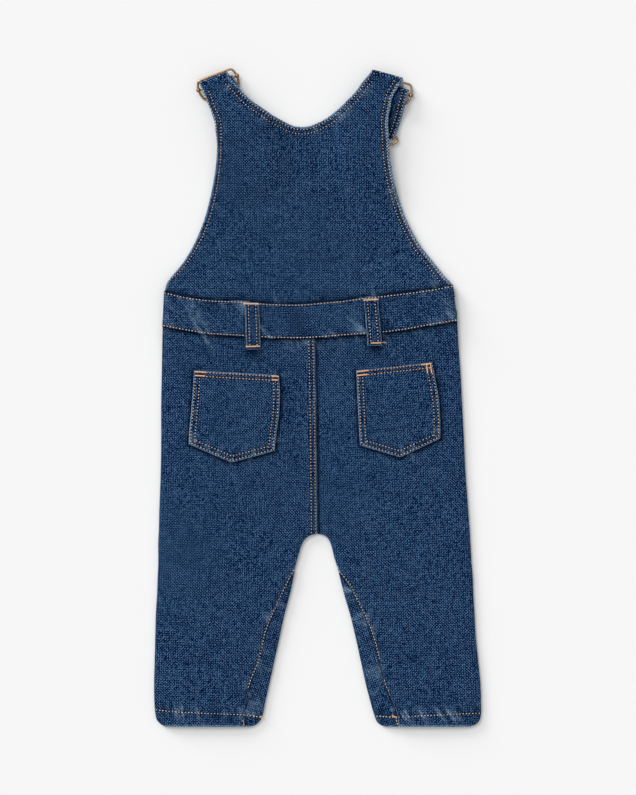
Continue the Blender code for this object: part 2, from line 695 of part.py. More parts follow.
# ---------------------------------------------------------------- the whole garment
def main():
    for old in list(bpy.data.objects):
        bpy.data.objects.remove(old)
    garment = bpy.data.collections.new("kids_dungarees")
    cutters = bpy.data.collections.new("cutters")
    bpy.context.scene.collection.children.link(garment)
    bpy.context.scene.collection.children.link(cutters)
    denim = make_material("denim", (0.017, 0.047, 0.110), 0.0, 0.9)
    copper = make_material("copper_wire", (0.55, 0.30, 0.14), 1.0, 0.35)

    make_front_bib(denim, garment)
    make_waistband("front_waistband", flat_floor, denim, garment)
    make_back_bib(denim, garment)
    make_waistband("back_waistband", on_back, denim, garment)
    sides = (
        ("left", LEFT_HIP, LEFT_LEG, LEFT_POCKET, LEFT_LOOP, LEFT_FOLD, LEFT_STRAP, LEFT_FITTINGS),
        ("right", RIGHT_HIP, RIGHT_LEG, RIGHT_POCKET, RIGHT_LOOP, RIGHT_FOLD, RIGHT_STRAP,
         RIGHT_FITTINGS),
    )
    for side, hip, leg, pocket, loop, fold, strap, fittings in sides:
        make_leg(side, hip, leg, denim, garment)
        make_pocket(side, pocket, denim, garment)
        make_belt_loop(side, loop, denim, garment)
        make_strap(side, fold, strap, denim, garment)
        make_slider(side, fold, fittings, copper, garment, cutters)
        make_clip(side, fold, fittings, copper, garment)
        make_button(side, fold, fittings, copper, garment)


main()
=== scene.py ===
"""Kids' dungarees laid flat with the back up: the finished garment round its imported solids.

Every size below is a millimetre until a mesh is written, which is in metres.  The cut pieces use
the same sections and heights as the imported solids, with a finer grid, rounded edges, puckers at
the seams and soft creases.  Thread is a mesh of its own, one small loop for each stitch.
"""

import math

import bpy
import numpy as np
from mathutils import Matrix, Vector

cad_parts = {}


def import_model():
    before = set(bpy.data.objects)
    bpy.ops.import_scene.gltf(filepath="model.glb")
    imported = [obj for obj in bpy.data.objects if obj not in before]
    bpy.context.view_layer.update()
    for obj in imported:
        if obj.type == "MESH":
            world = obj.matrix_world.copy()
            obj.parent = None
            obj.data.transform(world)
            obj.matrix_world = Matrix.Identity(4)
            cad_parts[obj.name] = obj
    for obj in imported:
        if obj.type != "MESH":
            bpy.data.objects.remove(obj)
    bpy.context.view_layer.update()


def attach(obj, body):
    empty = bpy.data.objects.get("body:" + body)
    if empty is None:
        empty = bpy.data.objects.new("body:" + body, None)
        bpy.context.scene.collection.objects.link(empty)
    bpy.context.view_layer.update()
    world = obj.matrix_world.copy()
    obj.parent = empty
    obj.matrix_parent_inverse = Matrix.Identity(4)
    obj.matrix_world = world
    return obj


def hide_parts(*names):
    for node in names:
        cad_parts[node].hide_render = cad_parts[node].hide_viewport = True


MM = 0.001

# ---------------------------------------------------------------- driving dimensions (mm)
WALL = 1.4                # thickness of the cloth
GAP = 0.3                 # clearance between layers
SLACK = 0.5               # least hollow between front and back
CROWN = 1.4               # further hollow along a leg's middle
WIRE = 0.9                # radius of the fittings' wire
SLIDER_HALF = 15.0
SLIDER_BOW = 2.5
SLIDER_LENGTH = 17.2
SLIDER_CORNER = 1.7
STRAP_HALF = 12.3         # half of a strap's width
KNUCKLE_RADIUS = 1.8
KNUCKLE_LENGTH = 2.8
CLIP_DROP = 22.0
CLIP_HALF = 12.6
CLIP_HEIGHT = 2.7
BUTTON_RADIUS = 7.25
BUTTON_CAP = 1.3
SHANK_RADIUS = 2.4
BAND_RISE = WALL + GAP
CLIP_RISE = 4.1
STRAP_RISE = 5.4
BAND_SLOPE = (19.0, 52.0)
CLIP_SLOPE = (15.0, 50.0)
STRAP_SLOPE = (17.0, 55.0)
STRAP_RISE_FROM = (0.0, 4.0)
STRAP_RISE_TO = (32.0, 6.0)
LEG_AT_CROTCH = (65.0, 65.0)
LEG_AT_HEM = (94.0, 46.0)
CROWN_FADE = (-10.0, 45.0)
LAY = 0.12                # how close a sewn-on piece lies on the cloth under it
STITCH_PITCH = 2.7
STITCH_LENGTH = 1.0       # in rows that show as single stitches
CLOSE_LENGTH = 1.35       # in rows that show as nearly unbroken lines
THREAD = 0.29             # radius of the topstitching thread
TACK_THREAD = 0.30        # radius of a bar tack's thread
TACK_STEP = 0.42          # from one stitch of a bar tack to the next
TACK_WIDTH = 1.17         # length of a bar tack's stitches
CLUSTER = 4.2             # stitches of a bar tack that bunch together
POCKET_ROWS = (1.6, 5.2)  # rows inside a pocket's sides and point
MOUTH_ROWS = (1.3, 4.7)   # rows below a pocket's mouth
LOOP_ROW = 3.0            # row inside a belt loop's long edge
STRAP_START = 3.4         # where a strap's rows begin past the bib's end
BAND_LIFT = 0.35          # the folded seam allowance under the waistband and the pockets
STEP = 1.7                # grid step of the panels that show
HIDDEN_STEP = 2.6         # grid step of the panels that are covered
BAND_GRAIN = 88.0         # degrees that the waistbands' warp is turned by
LOOP_GRAIN = 91.0         # degrees that the belt loops' warp is turned by

# ---------------------------------------------------------------- sections of the cut pieces
# columns: top_x, top_y, bottom_x, bottom_y
BAND = np.array([
    (-130.5, 90.5, -132.0, 60.0), (-111.0, 86.0, -111.0, 56.0), (-90.5, 83.5, -90.0, 53.0),
    (-66.0, 82.5, -65.0, 51.5), (-42.0, 80.5, -41.0, 50.0), (-15.0, 80.0, -15.0, 49.5),
    (4.0, 81.5, 4.5, 50.5), (21.0, 83.0, 23.0, 52.0), (38.5, 85.5, 42.0, 53.5),
    (57.5, 87.5, 61.0, 55.0), (78.5, 90.0, 81.5, 58.0), (96.5, 92.5, 100.0, 61.5),
    (115.0, 96.0, 119.0, 64.5),
])
# columns: left_x, left_y, centre_x, centre_y, right_x, right_y
BACK_BIB = np.array([
    (-130.5, 80.5, -9.0, 69.5, 117.0, 85.5), (-129.5, 92.0, -9.0, 80.5, 114.0, 96.5),
    (-126.0, 100.5, -9.5, 92.0, 107.5, 103.5), (-114.5, 114.5, -10.0, 108.5, 97.0, 117.0),
    (-104.5, 131.5, -10.5, 127.0, 86.5, 130.5), (-96.5, 151.0, -11.0, 148.5, 75.5, 151.0),
    (-91.5, 169.5, -11.5, 168.5, 69.0, 169.5), (-88.0, 186.5, -11.5, 186.5, 64.5, 186.5),
    (-86.0, 202.0, -12.0, 202.0, 62.0, 202.0), (-85.5, 214.5, -12.5, 215.0, 61.0, 214.5),
    (-86.5, 225.0, -13.0, 230.0, 60.5, 225.0),
])
# columns: armhole_x, armhole_y, neck_x, neck_y
LEFT_SHOULDER = np.array([
    (-86.5, 225.0, -13.0, 230.0), (-87.0, 229.5, -21.0, 231.2), (-87.5, 234.0, -30.0, 235.5),
    (-89.0, 238.5, -39.0, 240.5), (-90.5, 243.0, -47.5, 246.5), (-92.5, 248.0, -55.5, 252.0),
    (-94.0, 252.0, -61.5, 257.5), (-95.9, 256.5, -66.5, 263.0), (-97.8, 260.5, -71.5, 268.0),
    (-98.9, 264.0, -75.5, 272.3),
])
RIGHT_SHOULDER = np.array([
    (60.5, 225.0, -13.0, 230.0), (60.0, 230.0, -5.5, 231.2), (60.0, 234.5, 4.0, 235.5),
    (60.5, 239.5, 12.0, 240.5), (61.5, 244.0, 19.0, 246.5), (62.5, 249.0, 24.5, 252.0),
    (63.5, 254.5, 29.5, 257.0), (66.0, 259.5, 34.0, 262.0), (69.0, 264.5, 38.0, 268.0),
    (70.7, 267.4, 44.1, 274.8),
])
# columns: left_x, left_y, centre_x, centre_y, right_x, right_y
FRONT_BIB = np.array([
    (-130.5, 80.5, -9.0, 69.5, 117.0, 85.5), (-129.0, 92.0, -9.0, 80.5, 113.5, 96.5),
    (-124.5, 100.5, -9.5, 92.0, 107.0, 103.5), (-113.5, 114.5, -10.0, 108.5, 96.5, 117.0),
    (-103.5, 131.5, -10.5, 127.0, 86.5, 130.5), (-95.5, 151.0, -11.0, 148.5, 75.0, 151.0),
    (-90.0, 169.5, -11.5, 168.5, 68.5, 169.5), (-85.5, 186.5, -11.5, 186.5, 63.5, 186.5),
    (-81.0, 202.0, -11.5, 202.0, 58.5, 202.0), (-77.0, 212.0, -11.5, 212.0, 55.0, 212.0),
    (-72.0, 215.0, -11.5, 215.0, 50.0, 215.0),
])
# columns: side_x, side_y, seam_x, seam_y
LEFT_HIP = np.array([
    (-131.5, 69.5, -4.0, 59.0), (-132.0, 47.0, -2.8, 44.0), (-132.5, 21.5, -2.2, 19.0),
    (-133.0, -6.5, -1.7, -9.0), (-133.0, -36.0, -1.3, -37.0), (-133.5, -66.0, -1.0, -66.0),
    (-134.5, -93.0, -0.7, -94.0), (-135.0, -113.5, -0.5, -116.0),
])
RIGHT_HIP = np.array([
    (118.5, 74.5, -3.6, 59.0), (119.5, 50.5, -2.4, 44.0), (121.5, 22.5, -1.8, 19.0),
    (123.0, -6.5, -1.3, -9.0), (124.5, -36.0, -0.9, -37.0), (126.0, -66.0, -0.6, -66.0),
    (128.0, -93.0, -0.3, -94.0), (129.5, -113.5, -0.1, -116.0),
])
# columns: side_x, side_y, seam_x, seam_y, turn_x, turn_y
LEFT_LEG = np.array([
    (-135.0, -113.5, -0.5, -116.0, -0.5, -116.0), (-135.5, -123.5, -7.5, -118.0, -7.5, -118.0),
    (-135.5, -132.0, -13.0, -124.5, -13.0, -124.5), (-135.5, -141.5, -16.5, -135.5, -16.5, -135.5),
    (-136.0, -152.5, -20.5, -147.0, -19.3, -147.0), (-136.5, -167.0, -30.0, -165.5, -23.0, -165.5),
    (-137.5, -184.0, -38.5, -184.0, -28.0, -184.0), (-138.0, -202.5, -45.5, -202.5, -32.0, -202.5),
    (-138.5, -223.0, -50.5, -223.0, -36.5, -223.0), (-139.0, -243.5, -57.5, -243.5, -41.0, -243.5),
    (-138.8, -259.0, -61.0, -259.0, -44.5, -259.0), (-138.0, -269.0, -62.0, -269.5, -46.5, -269.5),
    (-136.5, -274.5, -62.3, -275.0, -49.0, -275.0), (-133.0, -278.0, -62.4, -278.3, -52.5, -278.3),
    (-129.0, -280.0, -62.5, -280.0, -57.5, -280.0),
])
RIGHT_LEG = np.array([
    (129.5, -113.5, -0.1, -116.0, -0.1, -116.0), (130.0, -123.5, 7.0, -118.0, 7.0, -118.0),
    (130.5, -132.0, 11.5, -125.5, 11.5, -125.5), (131.0, -141.5, 14.5, -137.5, 14.5, -137.5),
    (132.0, -152.5, 19.5, -149.0, 18.0, -149.0), (132.5, -167.0, 31.5, -167.0, 22.5, -167.0),
    (133.5, -184.0, 40.0, -184.0, 27.5, -184.0), (134.5, -202.5, 47.5, -202.5, 32.0, -202.5),
    (136.5, -223.0, 53.0, -223.0, 36.5, -223.0), (138.5, -243.5, 57.5, -243.5, 41.0, -243.5),
    (139.0, -259.0, 64.0, -259.0, 45.0, -259.0), (139.0, -269.0, 68.0, -269.5, 48.0, -269.5),
    (137.8, -274.5, 68.5, -275.0, 50.0, -275.0), (134.5, -278.0, 68.8, -278.3, 53.5, -278.3),
    (129.5, -280.0, 69.0, -280.0, 58.0, -280.0),
])
STRIP_START = 4
# columns: left_x, left_y, right_x, right_y, point
LEFT_POCKET = np.array([
    (-105.0, 23.0, -32.8, 19.0, 0.0), (-106.1, 4.5, -31.9, 4.0, 2.5),
    (-107.7, -15.0, -32.5, -12.5, 6.0), (-108.9, -27.5, -34.6, -28.5, 9.5),
    (-109.5, -39.6, -36.6, -45.5, 12.8),
])
RIGHT_POCKET = np.array([
    (32.8, 23.0, 97.5, 30.0, 0.5), (33.6, 6.5, 101.0, 11.5, 2.5),
    (34.5, -10.0, 103.4, -4.5, 6.0), (35.1, -24.0, 104.3, -19.0, 9.5),
    (36.1, -40.7, 104.3, -35.0, 13.0),
])
# columns: x, y, on_band
LOOP_HALF = 6.1
LEFT_LOOP = np.array([
    (-55.8, 80.5, 1.0), (-55.4, 70.0, 1.0), (-55.0, 59.0, 1.0), (-54.8, 52.0, 1.0),
    (-54.6, 48.6, 1.0), (-54.4, 45.6, 0.35), (-54.3, 40.8, 0.0),
])
RIGHT_LOOP = np.array([
    (45.3, 84.3, 1.0), (46.2, 74.0, 1.0), (47.2, 63.0, 1.0), (47.9, 55.5, 1.0),
    (48.1, 52.2, 1.0), (48.3, 49.2, 0.35), (48.6, 44.0, 0.0),
])
LEFT_FOLD = {"x": -88.0, "y": 271.0, "turn": math.radians(20.5)}
RIGHT_FOLD = {"x": 59.0, "y": 274.5, "turn": math.radians(-15.5)}
# columns: along, across, height of the wall's middle, half width
LEFT_STRAP = np.array([
    (2.7, -0.6, 8.3, 12.9), (0.1, -0.5, 7.9, 12.9), (-1.0, -0.2, 6.0, 12.7), (-0.1, 0.8, 3.5, 12.2),
    (1.9, 1.8, 1.6, 11.8), (4.6, 2.4, 0.95, 12.0), (7.8, 2.8, 0.9, 12.0), (11.2, 3.2, 1.9, 11.8),
    (14.5, 3.4, 3.5, 11.6), (18.2, 3.8, 2.3, 12.0), (22.5, 4.1, 0.95, 12.3),
    (30.0, 4.1, 0.75, 12.3), (40.0, 4.0, 0.75, 12.3), (47.5, 3.6, 0.8, 11.3),
    (50.5, 3.4, 0.8, 11.3), (52.5, 3.4, 2.7, 11.3), (50.5, 3.5, 4.6, 11.3),
    (45.0, 3.9, 3.6, 12.3), (38.0, 4.2, 2.8, 12.3), (30.0, 4.5, 2.8, 12.3),
    (22.5, 4.9, 3.9, 12.3), (17.0, 5.2, 5.2, 12.3), (12.0, 5.3, 5.8, 12.3), (8.0, 4.9, 5.9, 12.1),
    (5.3, 4.4, 5.6, 11.9), (3.5, 4.2, 5.0, 11.8), (2.8, 4.2, 3.7, 11.8),
])
RIGHT_STRAP = np.array([
    (3.2, -0.5, 8.3, 13.8), (0.7, -0.1, 8.0, 13.5), (-0.5, 0.6, 6.8, 13.0), (0.5, 2.1, 5.4, 12.2),
    (2.9, 4.5, 4.9, 11.4), (5.0, 4.8, 3.8, 11.4), (7.0, 5.0, 1.9, 11.4), (9.0, 5.2, 1.1, 11.5),
    (11.5, 5.4, 0.95, 11.6), (14.5, 5.8, 1.7, 11.8), (17.4, 6.2, 3.7, 12.0),
    (20.1, 6.5, 4.9, 12.2), (23.0, 6.9, 3.9, 12.3), (26.5, 7.3, 1.6, 12.3),
    (30.0, 7.8, 0.85, 12.3), (37.0, 8.4, 0.75, 12.3), (46.0, 9.0, 0.8, 12.3),
    (49.3, 9.3, 0.8, 11.3), (51.3, 9.3, 2.7, 11.3), (49.3, 9.2, 4.6, 11.3),
    (44.5, 9.2, 3.7, 12.3), (38.0, 9.5, 2.8, 12.3), (32.5, 9.8, 3.0, 12.3),
    (28.0, 9.8, 4.3, 12.3), (24.0, 9.7, 5.9, 12.3), (20.0, 9.6, 6.7, 12.3),
    (16.0, 9.6, 6.1, 12.3), (12.5, 9.6, 5.3, 12.3), (10.2, 9.6, 5.3, 12.3), (8.3, 9.6, 4.7, 12.3),
    (8.0, 9.6, 3.8, 12.3), (9.1, 9.6, 3.1, 12.3),
])
LEFT_FITTINGS = {"slider_along": -2.7, "slider_across": 1.7, "slider_height": 5.0,
                 "slider_lean": math.radians(11.5), "middle_bar": 7.3,
                 "clip_along": 50.2, "clip_across": 3.5}
RIGHT_FITTINGS = {"slider_along": 2.8, "slider_across": 6.9, "slider_height": 2.9,
                  "slider_lean": 0.0, "middle_bar": 8.6,
                  "clip_along": 49.0, "clip_across": 9.4}

# ---------------------------------------------------------------- stitch rows and creases
# Rows of stitches that follow no edge.  columns: x, y
INSEAM_ROW_LEFT = np.array([
    (-20.2, -145.9), (-33.8, -174.4), (-43.8, -197.4), (-49.0, -220.4), (-57.1, -240.9),
    (-60.1, -251.8), (-61.8, -264.6),
])
INSEAM_ROW_RIGHT = np.array([
    (20.0, -149.4), (29.2, -160.7), (31.7, -167.9), (38.9, -181.9), (44.7, -194.7),
    (48.3, -205.5), (52.2, -220.2), (57.4, -243.2), (60.4, -249.3), (68.3, -268.3),
])
HEM_ROW_LEFT = np.array([
    (-138.4, -265.4), (-120.5, -267.3), (-85.4, -268.9), (-61.6, -270.0), (-47.5, -272.0),
])
HEM_ROW_RIGHT = np.array([
    (49.2, -270.8), (65.5, -271.7), (88.3, -270.6), (110.9, -269.7), (126.2, -268.8),
    (138.8, -268.5),
])
# Soft creases of the back.  columns: x, y of one end, x, y of the other, half width, height
BACK_CREASES = (
    (-79.0, 45.0, -66.0, 33.0, 3.0, 0.30),
    (-72.0, 46.0, -58.0, 30.0, 2.5, -0.22),
    (97.0, 56.0, 112.0, 40.0, 3.0, 0.26),
    (84.0, 50.0, 96.0, 38.0, 2.5, 0.20),
    (-128.0, -205.0, -70.0, -262.0, 13.0, -0.75),
    (-134.0, -176.0, -84.0, -232.0, 10.0, 0.45),
    (-98.0, -150.0, -52.0, -190.0, 12.0, -0.35),
    (30.0, -142.0, 70.0, -200.0, 11.0, -0.45),
    (60.0, -172.0, 124.0, -226.0, 12.0, 0.45),
    (74.0, -222.0, 130.0, -246.0, 10.0, -0.35),
    (-10.0, -100.0, -60.0, -148.0, 9.0, -0.40),
    (4.0, -104.0, 48.0, -150.0, 9.0, -0.40),
    (-70.0, 196.0, -20.0, 176.0, 10.0, -0.30),
    (8.0, 206.0, 46.0, 168.0, 9.0, -0.28),
    (-110.0, 108.0, -60.0, 98.0, 8.0, 0.30),
    (40.0, 110.0, 100.0, 102.0, 8.0, 0.28),
)


# The left armhole's rows: its rolled edge draws both close to the rim lower down.  columns: x, y
ARM_ROW_OUTER = np.array([
    (-85.7, 206.0), (-85.5, 214.0), (-85.8, 223.0), (-87.0, 235.9), (-90.9, 246.1),
    (-93.0, 250.8), (-95.6, 257.5), (-97.2, 261.5),
])
ARM_ROW_INNER = np.array([
    (-128.6, 97.6), (-126.4, 99.5), (-122.0, 102.6), (-115.6, 108.4), (-110.5, 115.3),
    (-105.4, 123.0), (-100.3, 132.0), (-95.8, 141.5), (-91.4, 154.3), (-88.1, 166.3),
    (-85.3, 179.8), (-83.0, 197.6), (-82.2, 210.4), (-81.9, 221.9), (-82.7, 235.9),
    (-87.7, 247.4), (-90.1, 254.6), (-92.7, 261.0),
])


# ---------------------------------------------------------------- curves and grids
def spline(rows, places):
    """Catmull-Rom curve through the rows: a cubic of the place between each two rows."""
    padded = np.vstack([2 * rows[0] - rows[1], rows, 2 * rows[-1] - rows[-2]])
    step = np.clip(np.floor(places).astype(int), 0, len(rows) - 2)
    t = (places - step)[:, None]
    before, here, there, after = (padded[step + k] for k in range(4))
    return 0.5 * (2 * here + (there - before) * t
                  + (2 * before - 5 * here + 4 * there - after) * t ** 2
                  + (3 * here - before - 3 * there + after) * t ** 3)


RIM = np.array([0.0, 0.1, 0.35, 0.8, 1.5, 2.2, 3.0, 4.0, 5.0, 6.0, 7.0, 8.2])


def spaced(length, step, rim_at_start, rim_at_end):
    """Distances from 0 to length: those of RIM inside a finished edge, and even steps between."""
    rim = RIM * min(1.0, 0.45 * length / RIM[-1])
    first = rim if rim_at_start else rim[:1]
    last = length - (rim if rim_at_end else rim[:1])[::-1]
    count = max(3, int(round((last[0] - first[-1]) / step)) + 1)
    return np.concatenate([first, np.linspace(first[-1], last[0], count)[1:-1], last])


def sections(rows, step, rim_at_start=False, rim_at_end=False):
    """The rows' curve at places whose longest run, of the x, y pairs in a row, is spaced."""
    dense = np.linspace(0.0, len(rows) - 1.0, 40 * (len(rows) - 1) + 1)
    run = np.diff(spline(rows, dense), axis=0)
    run = run[:, :run.shape[1] // 2 * 2].reshape(len(run), -1, 2)
    length = np.concatenate([[0.0], np.hypot(run[..., 0], run[..., 1]).max(axis=1).cumsum()])
    wanted = spaced(length[-1], step, rim_at_start, rim_at_end)
    return spline(rows, np.interp(wanted, length, dense))


def loft(left, right, step, rim_left=True, rim_right=True, sag=None):
    """Straight lines from left to right, with columns at RIM's distances from finished edges.

    sag drops the middle of each line in y, as a point's two straight sides.
    """
    width = np.hypot(*(right - left).T)[:, None]
    rim = RIM[None, :] * np.minimum(1.0, 0.45 * width / RIM[-1])
    first = rim if rim_left else 0.0 * width
    last = width - (rim[:, ::-1] if rim_right else 0.0 * width)
    count = max(4, int(round((width.max() - 2 * RIM[-1]) / step)) + 1)
    inner = first[:, -1:] + (last[:, :1] - first[:, -1:]) * np.linspace(0, 1, count)[None, 1:-1]
    t = (np.hstack([first, inner, last]) / width)[:, :, None]
    grid = left[:, None, :] + t * (right - left)[:, None, :]
    if sag is not None:
        grid[:, :, 1] -= sag[:, None] * (1.0 - np.abs(2.0 * t[:, :, 0] - 1.0))
    return grid


def resample(line, step):
    """The line's smooth curve as points about step apart."""
    return sections(np.asarray(line, float), step)


def polyline_at(line, along):
    """Points of a line at the given runs along it, and its unit direction there."""
    run = np.diff(line, axis=0)
    length = np.concatenate([[0.0], np.hypot(run[:, 0], run[:, 1]).cumsum()])
    place = np.column_stack([np.interp(along, length, line[:, k]) for k in range(2)])
    ahead = np.column_stack([np.interp(along + 0.4, length, line[:, k]) for k in range(2)])
    behind = np.column_stack([np.interp(along - 0.4, length, line[:, k]) for k in range(2)])
    way = ahead - behind
    return place, way / np.hypot(way[:, 0], way[:, 1])[:, None]


def run_of(line):
    """Length of a line of points."""
    return np.hypot(*np.diff(line, axis=0).T).sum()


def inset(line, distance):
    """The line moved to its left by the distance, square to its own direction."""
    way = np.gradient(line, axis=0)
    way = way / np.hypot(way[:, 0], way[:, 1])[:, None]
    return line + distance * np.column_stack([-way[:, 1], way[:, 0]])


def to_line(x, y, line):
    """Distance to a line, run along it to the nearest point, and which side (1 is its left)."""
    start, run = line[:-1], np.diff(line, axis=0)
    length = np.maximum(np.hypot(run[:, 0], run[:, 1]), 1e-9)
    before = np.concatenate([[0.0], length.cumsum()[:-1]])
    flat = np.column_stack([np.ravel(x), np.ravel(y)])
    found = []
    for part in np.array_split(flat, len(flat) // 6000 + 1):
        offset = part[:, None, :] - start[None]
        t = np.clip((offset * run).sum(-1) / length ** 2, 0.0, 1.0)
        gap = offset - t[..., None] * run
        distance = np.hypot(gap[..., 0], gap[..., 1])
        near = distance.argmin(axis=1)
        rows = np.arange(len(part))
        cross = run[near, 0] * gap[rows, near, 1] - run[near, 1] * gap[rows, near, 0]
        along = before[near] + t[rows, near] * length[near]
        found.append(np.column_stack([distance[rows, near], along, np.where(cross < 0, -1, 1)]))
    found = np.vstack(found)
    return tuple(found[:, k].reshape(np.shape(x)) for k in range(3))


def wave(place, seed):
    """Noise of one number: random heights at whole numbers joined by a smooth cubic."""
    heights = np.random.default_rng(seed).uniform(-1.0, 1.0, 997)
    cell = np.floor(place).astype(int)
    t = place - cell
    t = t * t * (3.0 - 2.0 * t)
    return heights[cell % 997] * (1.0 - t) + heights[(cell + 1) % 997] * t


def swell(x, y, size, seed):
    """Noise of two numbers: random heights on a square net joined by smooth cubics."""
    heights = np.random.default_rng(seed).uniform(-1.0, 1.0, (61, 61))
    i, j = np.floor(x / size).astype(int), np.floor(y / size).astype(int)
    s, t = x / size - i, y / size - j
    s, t = s * s * (3.0 - 2.0 * s), t * t * (3.0 - 2.0 * t)
    low = heights[i % 61, j % 61] * (1 - s) + heights[(i + 1) % 61, j % 61] * s
    high = heights[i % 61, (j + 1) % 61] * (1 - s) + heights[(i + 1) % 61, (j + 1) % 61] * s
    return low * (1 - t) + high * t


# ---------------------------------------------------------------- heights of the layers
def fade(distance, inner, outer):
    """1 up to the inner distance and 0 from the outer one, with a smooth slope between."""
    t = np.clip((outer - distance) / (outer - inner), 0.0, 1.0)
    return t * t * t * (t * (6 * t - 15) + 10)


def distance_to_segment(x, y, start, end):
    """Distance in plan from each place to the straight line between two places."""
    run = np.subtract(end, start)
    along = ((x - start[0]) * run[0] + (y - start[1]) * run[1]) / run.dot(run)
    along = np.clip(along, 0.0, 1.0)
    return np.hypot(x - start[0] - along * run[0], y - start[1] - along * run[1])


def fold_place(fold, along, across):
    """Place in plan of a point given in a strap's own frame."""
    x = fold["x"] + across * np.cos(fold["turn"]) + along * np.sin(fold["turn"])
    y = fold["y"] + across * np.sin(fold["turn"]) - along * np.cos(fold["turn"])
    return x, y


def waist_rise(x, y):
    """Rise of the panels on to the front waistband."""
    middle = np.interp(x, BAND[:, 0], (BAND[:, 1] + BAND[:, 3]) / 2)
    return BAND_RISE * fade(np.abs(y - middle), *BAND_SLOPE)


def clip_rise(x, y):
    """Rise of the front bib over the two clips and buttons."""
    rise = 0.0
    for fold, fittings in ((LEFT_FOLD, LEFT_FITTINGS), (RIGHT_FOLD, RIGHT_FITTINGS)):
        top = fold_place(fold, fittings["clip_along"], fittings["clip_across"])
        button = fold_place(fold, fittings["clip_along"] + CLIP_DROP, fittings["clip_across"])
        rise = rise + CLIP_RISE * fade(distance_to_segment(x, y, top, button), *CLIP_SLOPE)
    return rise


def strap_rise(x, y):
    """Rise of the back over the shoulder folds, the straps and the sliders."""
    rise = 0.0
    for fold in (LEFT_FOLD, RIGHT_FOLD):
        start = fold_place(fold, *STRAP_RISE_FROM)
        end = fold_place(fold, *STRAP_RISE_TO)
        rise = rise + STRAP_RISE * fade(distance_to_segment(x, y, start, end), *STRAP_SLOPE)
    return rise


def hollow(x, y):
    """Hollow between front and back: a little everywhere, and a crown along each leg."""
    crotch, hem = LEFT_HIP[-1, 3], LEFT_LEG[-1, 1]
    down = np.clip((y - crotch) / (hem - crotch), 0.0, 1.0)
    middle = LEG_AT_CROTCH[0] + (LEG_AT_HEM[0] - LEG_AT_CROTCH[0]) * down
    half = LEG_AT_CROTCH[1] + (LEG_AT_HEM[1] - LEG_AT_CROTCH[1]) * down
    across = np.clip((np.abs(x) - middle) / half, -1.0, 1.0)
    return SLACK + CROWN * (1.0 - across ** 2) * fade(y, *CROWN_FADE)


def front_floor(x, y):
    """Underside of the front bib and the front legs."""
    return waist_rise(x, y) + clip_rise(x, y)


def back_floor(x, y):
    """Underside of the back bib and the back legs."""
    over_fittings = (clip_rise(x, y) ** 4 + strap_rise(x, y) ** 4) ** 0.25
    return waist_rise(x, y) + over_fittings + WALL + GAP + hollow(x, y)


# ---------------------------------------------------------------- outlines and stitched lines
def edge(table, column, step=2.5):
    """One edge of a table of sections, as points step apart."""
    return resample(table[:, column:column + 2], step)


NECK = np.vstack([edge(LEFT_SHOULDER, 2)[::-1], edge(RIGHT_SHOULDER, 2)[1:]])
ARM_LEFT = np.vstack([edge(BACK_BIB[1:], 0), edge(LEFT_SHOULDER, 0)[1:]])
ARM_RIGHT = np.vstack([edge(BACK_BIB[1:], 4), edge(RIGHT_SHOULDER, 0)[1:]])
BAND_TOP, BAND_BOTTOM = edge(BAND, 0), edge(BAND, 2)
SIDE_LEFT = np.vstack([edge(LEFT_HIP, 0), edge(LEFT_LEG, 0)[1:]])
SIDE_RIGHT = np.vstack([edge(RIGHT_HIP, 0), edge(RIGHT_LEG, 0)[1:]])
CENTRE = edge(LEFT_HIP, 2)
SEAM_LEFT, SEAM_RIGHT = edge(LEFT_LEG, 2), edge(RIGHT_LEG, 2)
HEM_LEFT = np.array([(-140.0, -280.0), (-57.0, -280.0)])
HEM_RIGHT = np.array([(57.0, -280.0), (140.0, -280.0)])


def pocket_outline(table):
    """Outline of a pocket, anticlockwise from its upper left corner: side, two slopes and side,
    without the mouth.
    """
    rows = sections(table, 2.5)
    left, right, foot = rows[:, 0:2], rows[:, 2:4], rows[-1]
    point = (foot[0:2] + foot[2:4]) / 2 - np.array([0.0, foot[4]])
    return left, np.array([left[-1], point]), np.array([point, right[-1]]), right[::-1]


def pocket_row(table, distance):
    """A row of stitches inside a pocket's sides and point, as one line with square corners."""
    left, slope, other, right = (inset(line, distance) for line in pocket_outline(table))
    corners = [left[0]]
    for before, after in ((left[-2:], slope), (slope, other), (other, right[:2])):
        corners.append(crossing(before, after))
    return [np.vstack([left[:-1], corners[1]]), np.array([corners[1], corners[2]]),
            np.array([corners[2], corners[3]]), np.vstack([corners[3], right[1:]])]


def crossing(one, other):
    """Point where two straight lines, each given by two points, cross."""
    p, r = one[0], one[1] - one[0]
    q, s = other[0], other[1] - other[0]
    t = ((q[0] - p[0]) * s[1] - (q[1] - p[1]) * s[0]) / (r[0] * s[1] - r[1] * s[0])
    return p + t * r


def part_of(line, start, end):
    """The part of a line from one share of its length to another."""
    total = run_of(line)
    return polyline_at(line, np.linspace(start * total, end * total, max(3, int(total / 2.5))))[0]


# Rows of stitches that run along an edge, and the line on the right of the centre seam where shade is
# painted beside its lapped edge
NECK_ROWS = (part_of(inset(NECK, -2.3), 0.085, 0.985), part_of(inset(NECK, -6.0), 0.01, 0.985))
ARM_LEFT_ROWS = (resample(ARM_ROW_OUTER, 3.0), resample(ARM_ROW_INNER, 3.0))
ARM_RIGHT_ROWS = (part_of(inset(ARM_RIGHT, 2.2), 0.03, 0.99),
                  part_of(inset(ARM_RIGHT, 5.6), 0.04, 0.998))
BAND_ROWS = (inset(BAND_TOP, -1.5), inset(BAND_BOTTOM, 1.4))
CENTRE_ROWS = (inset(CENTRE, -1.2), inset(CENTRE, -4.6))
CENTRE_SHADE_LINE = inset(CENTRE, 1.8)


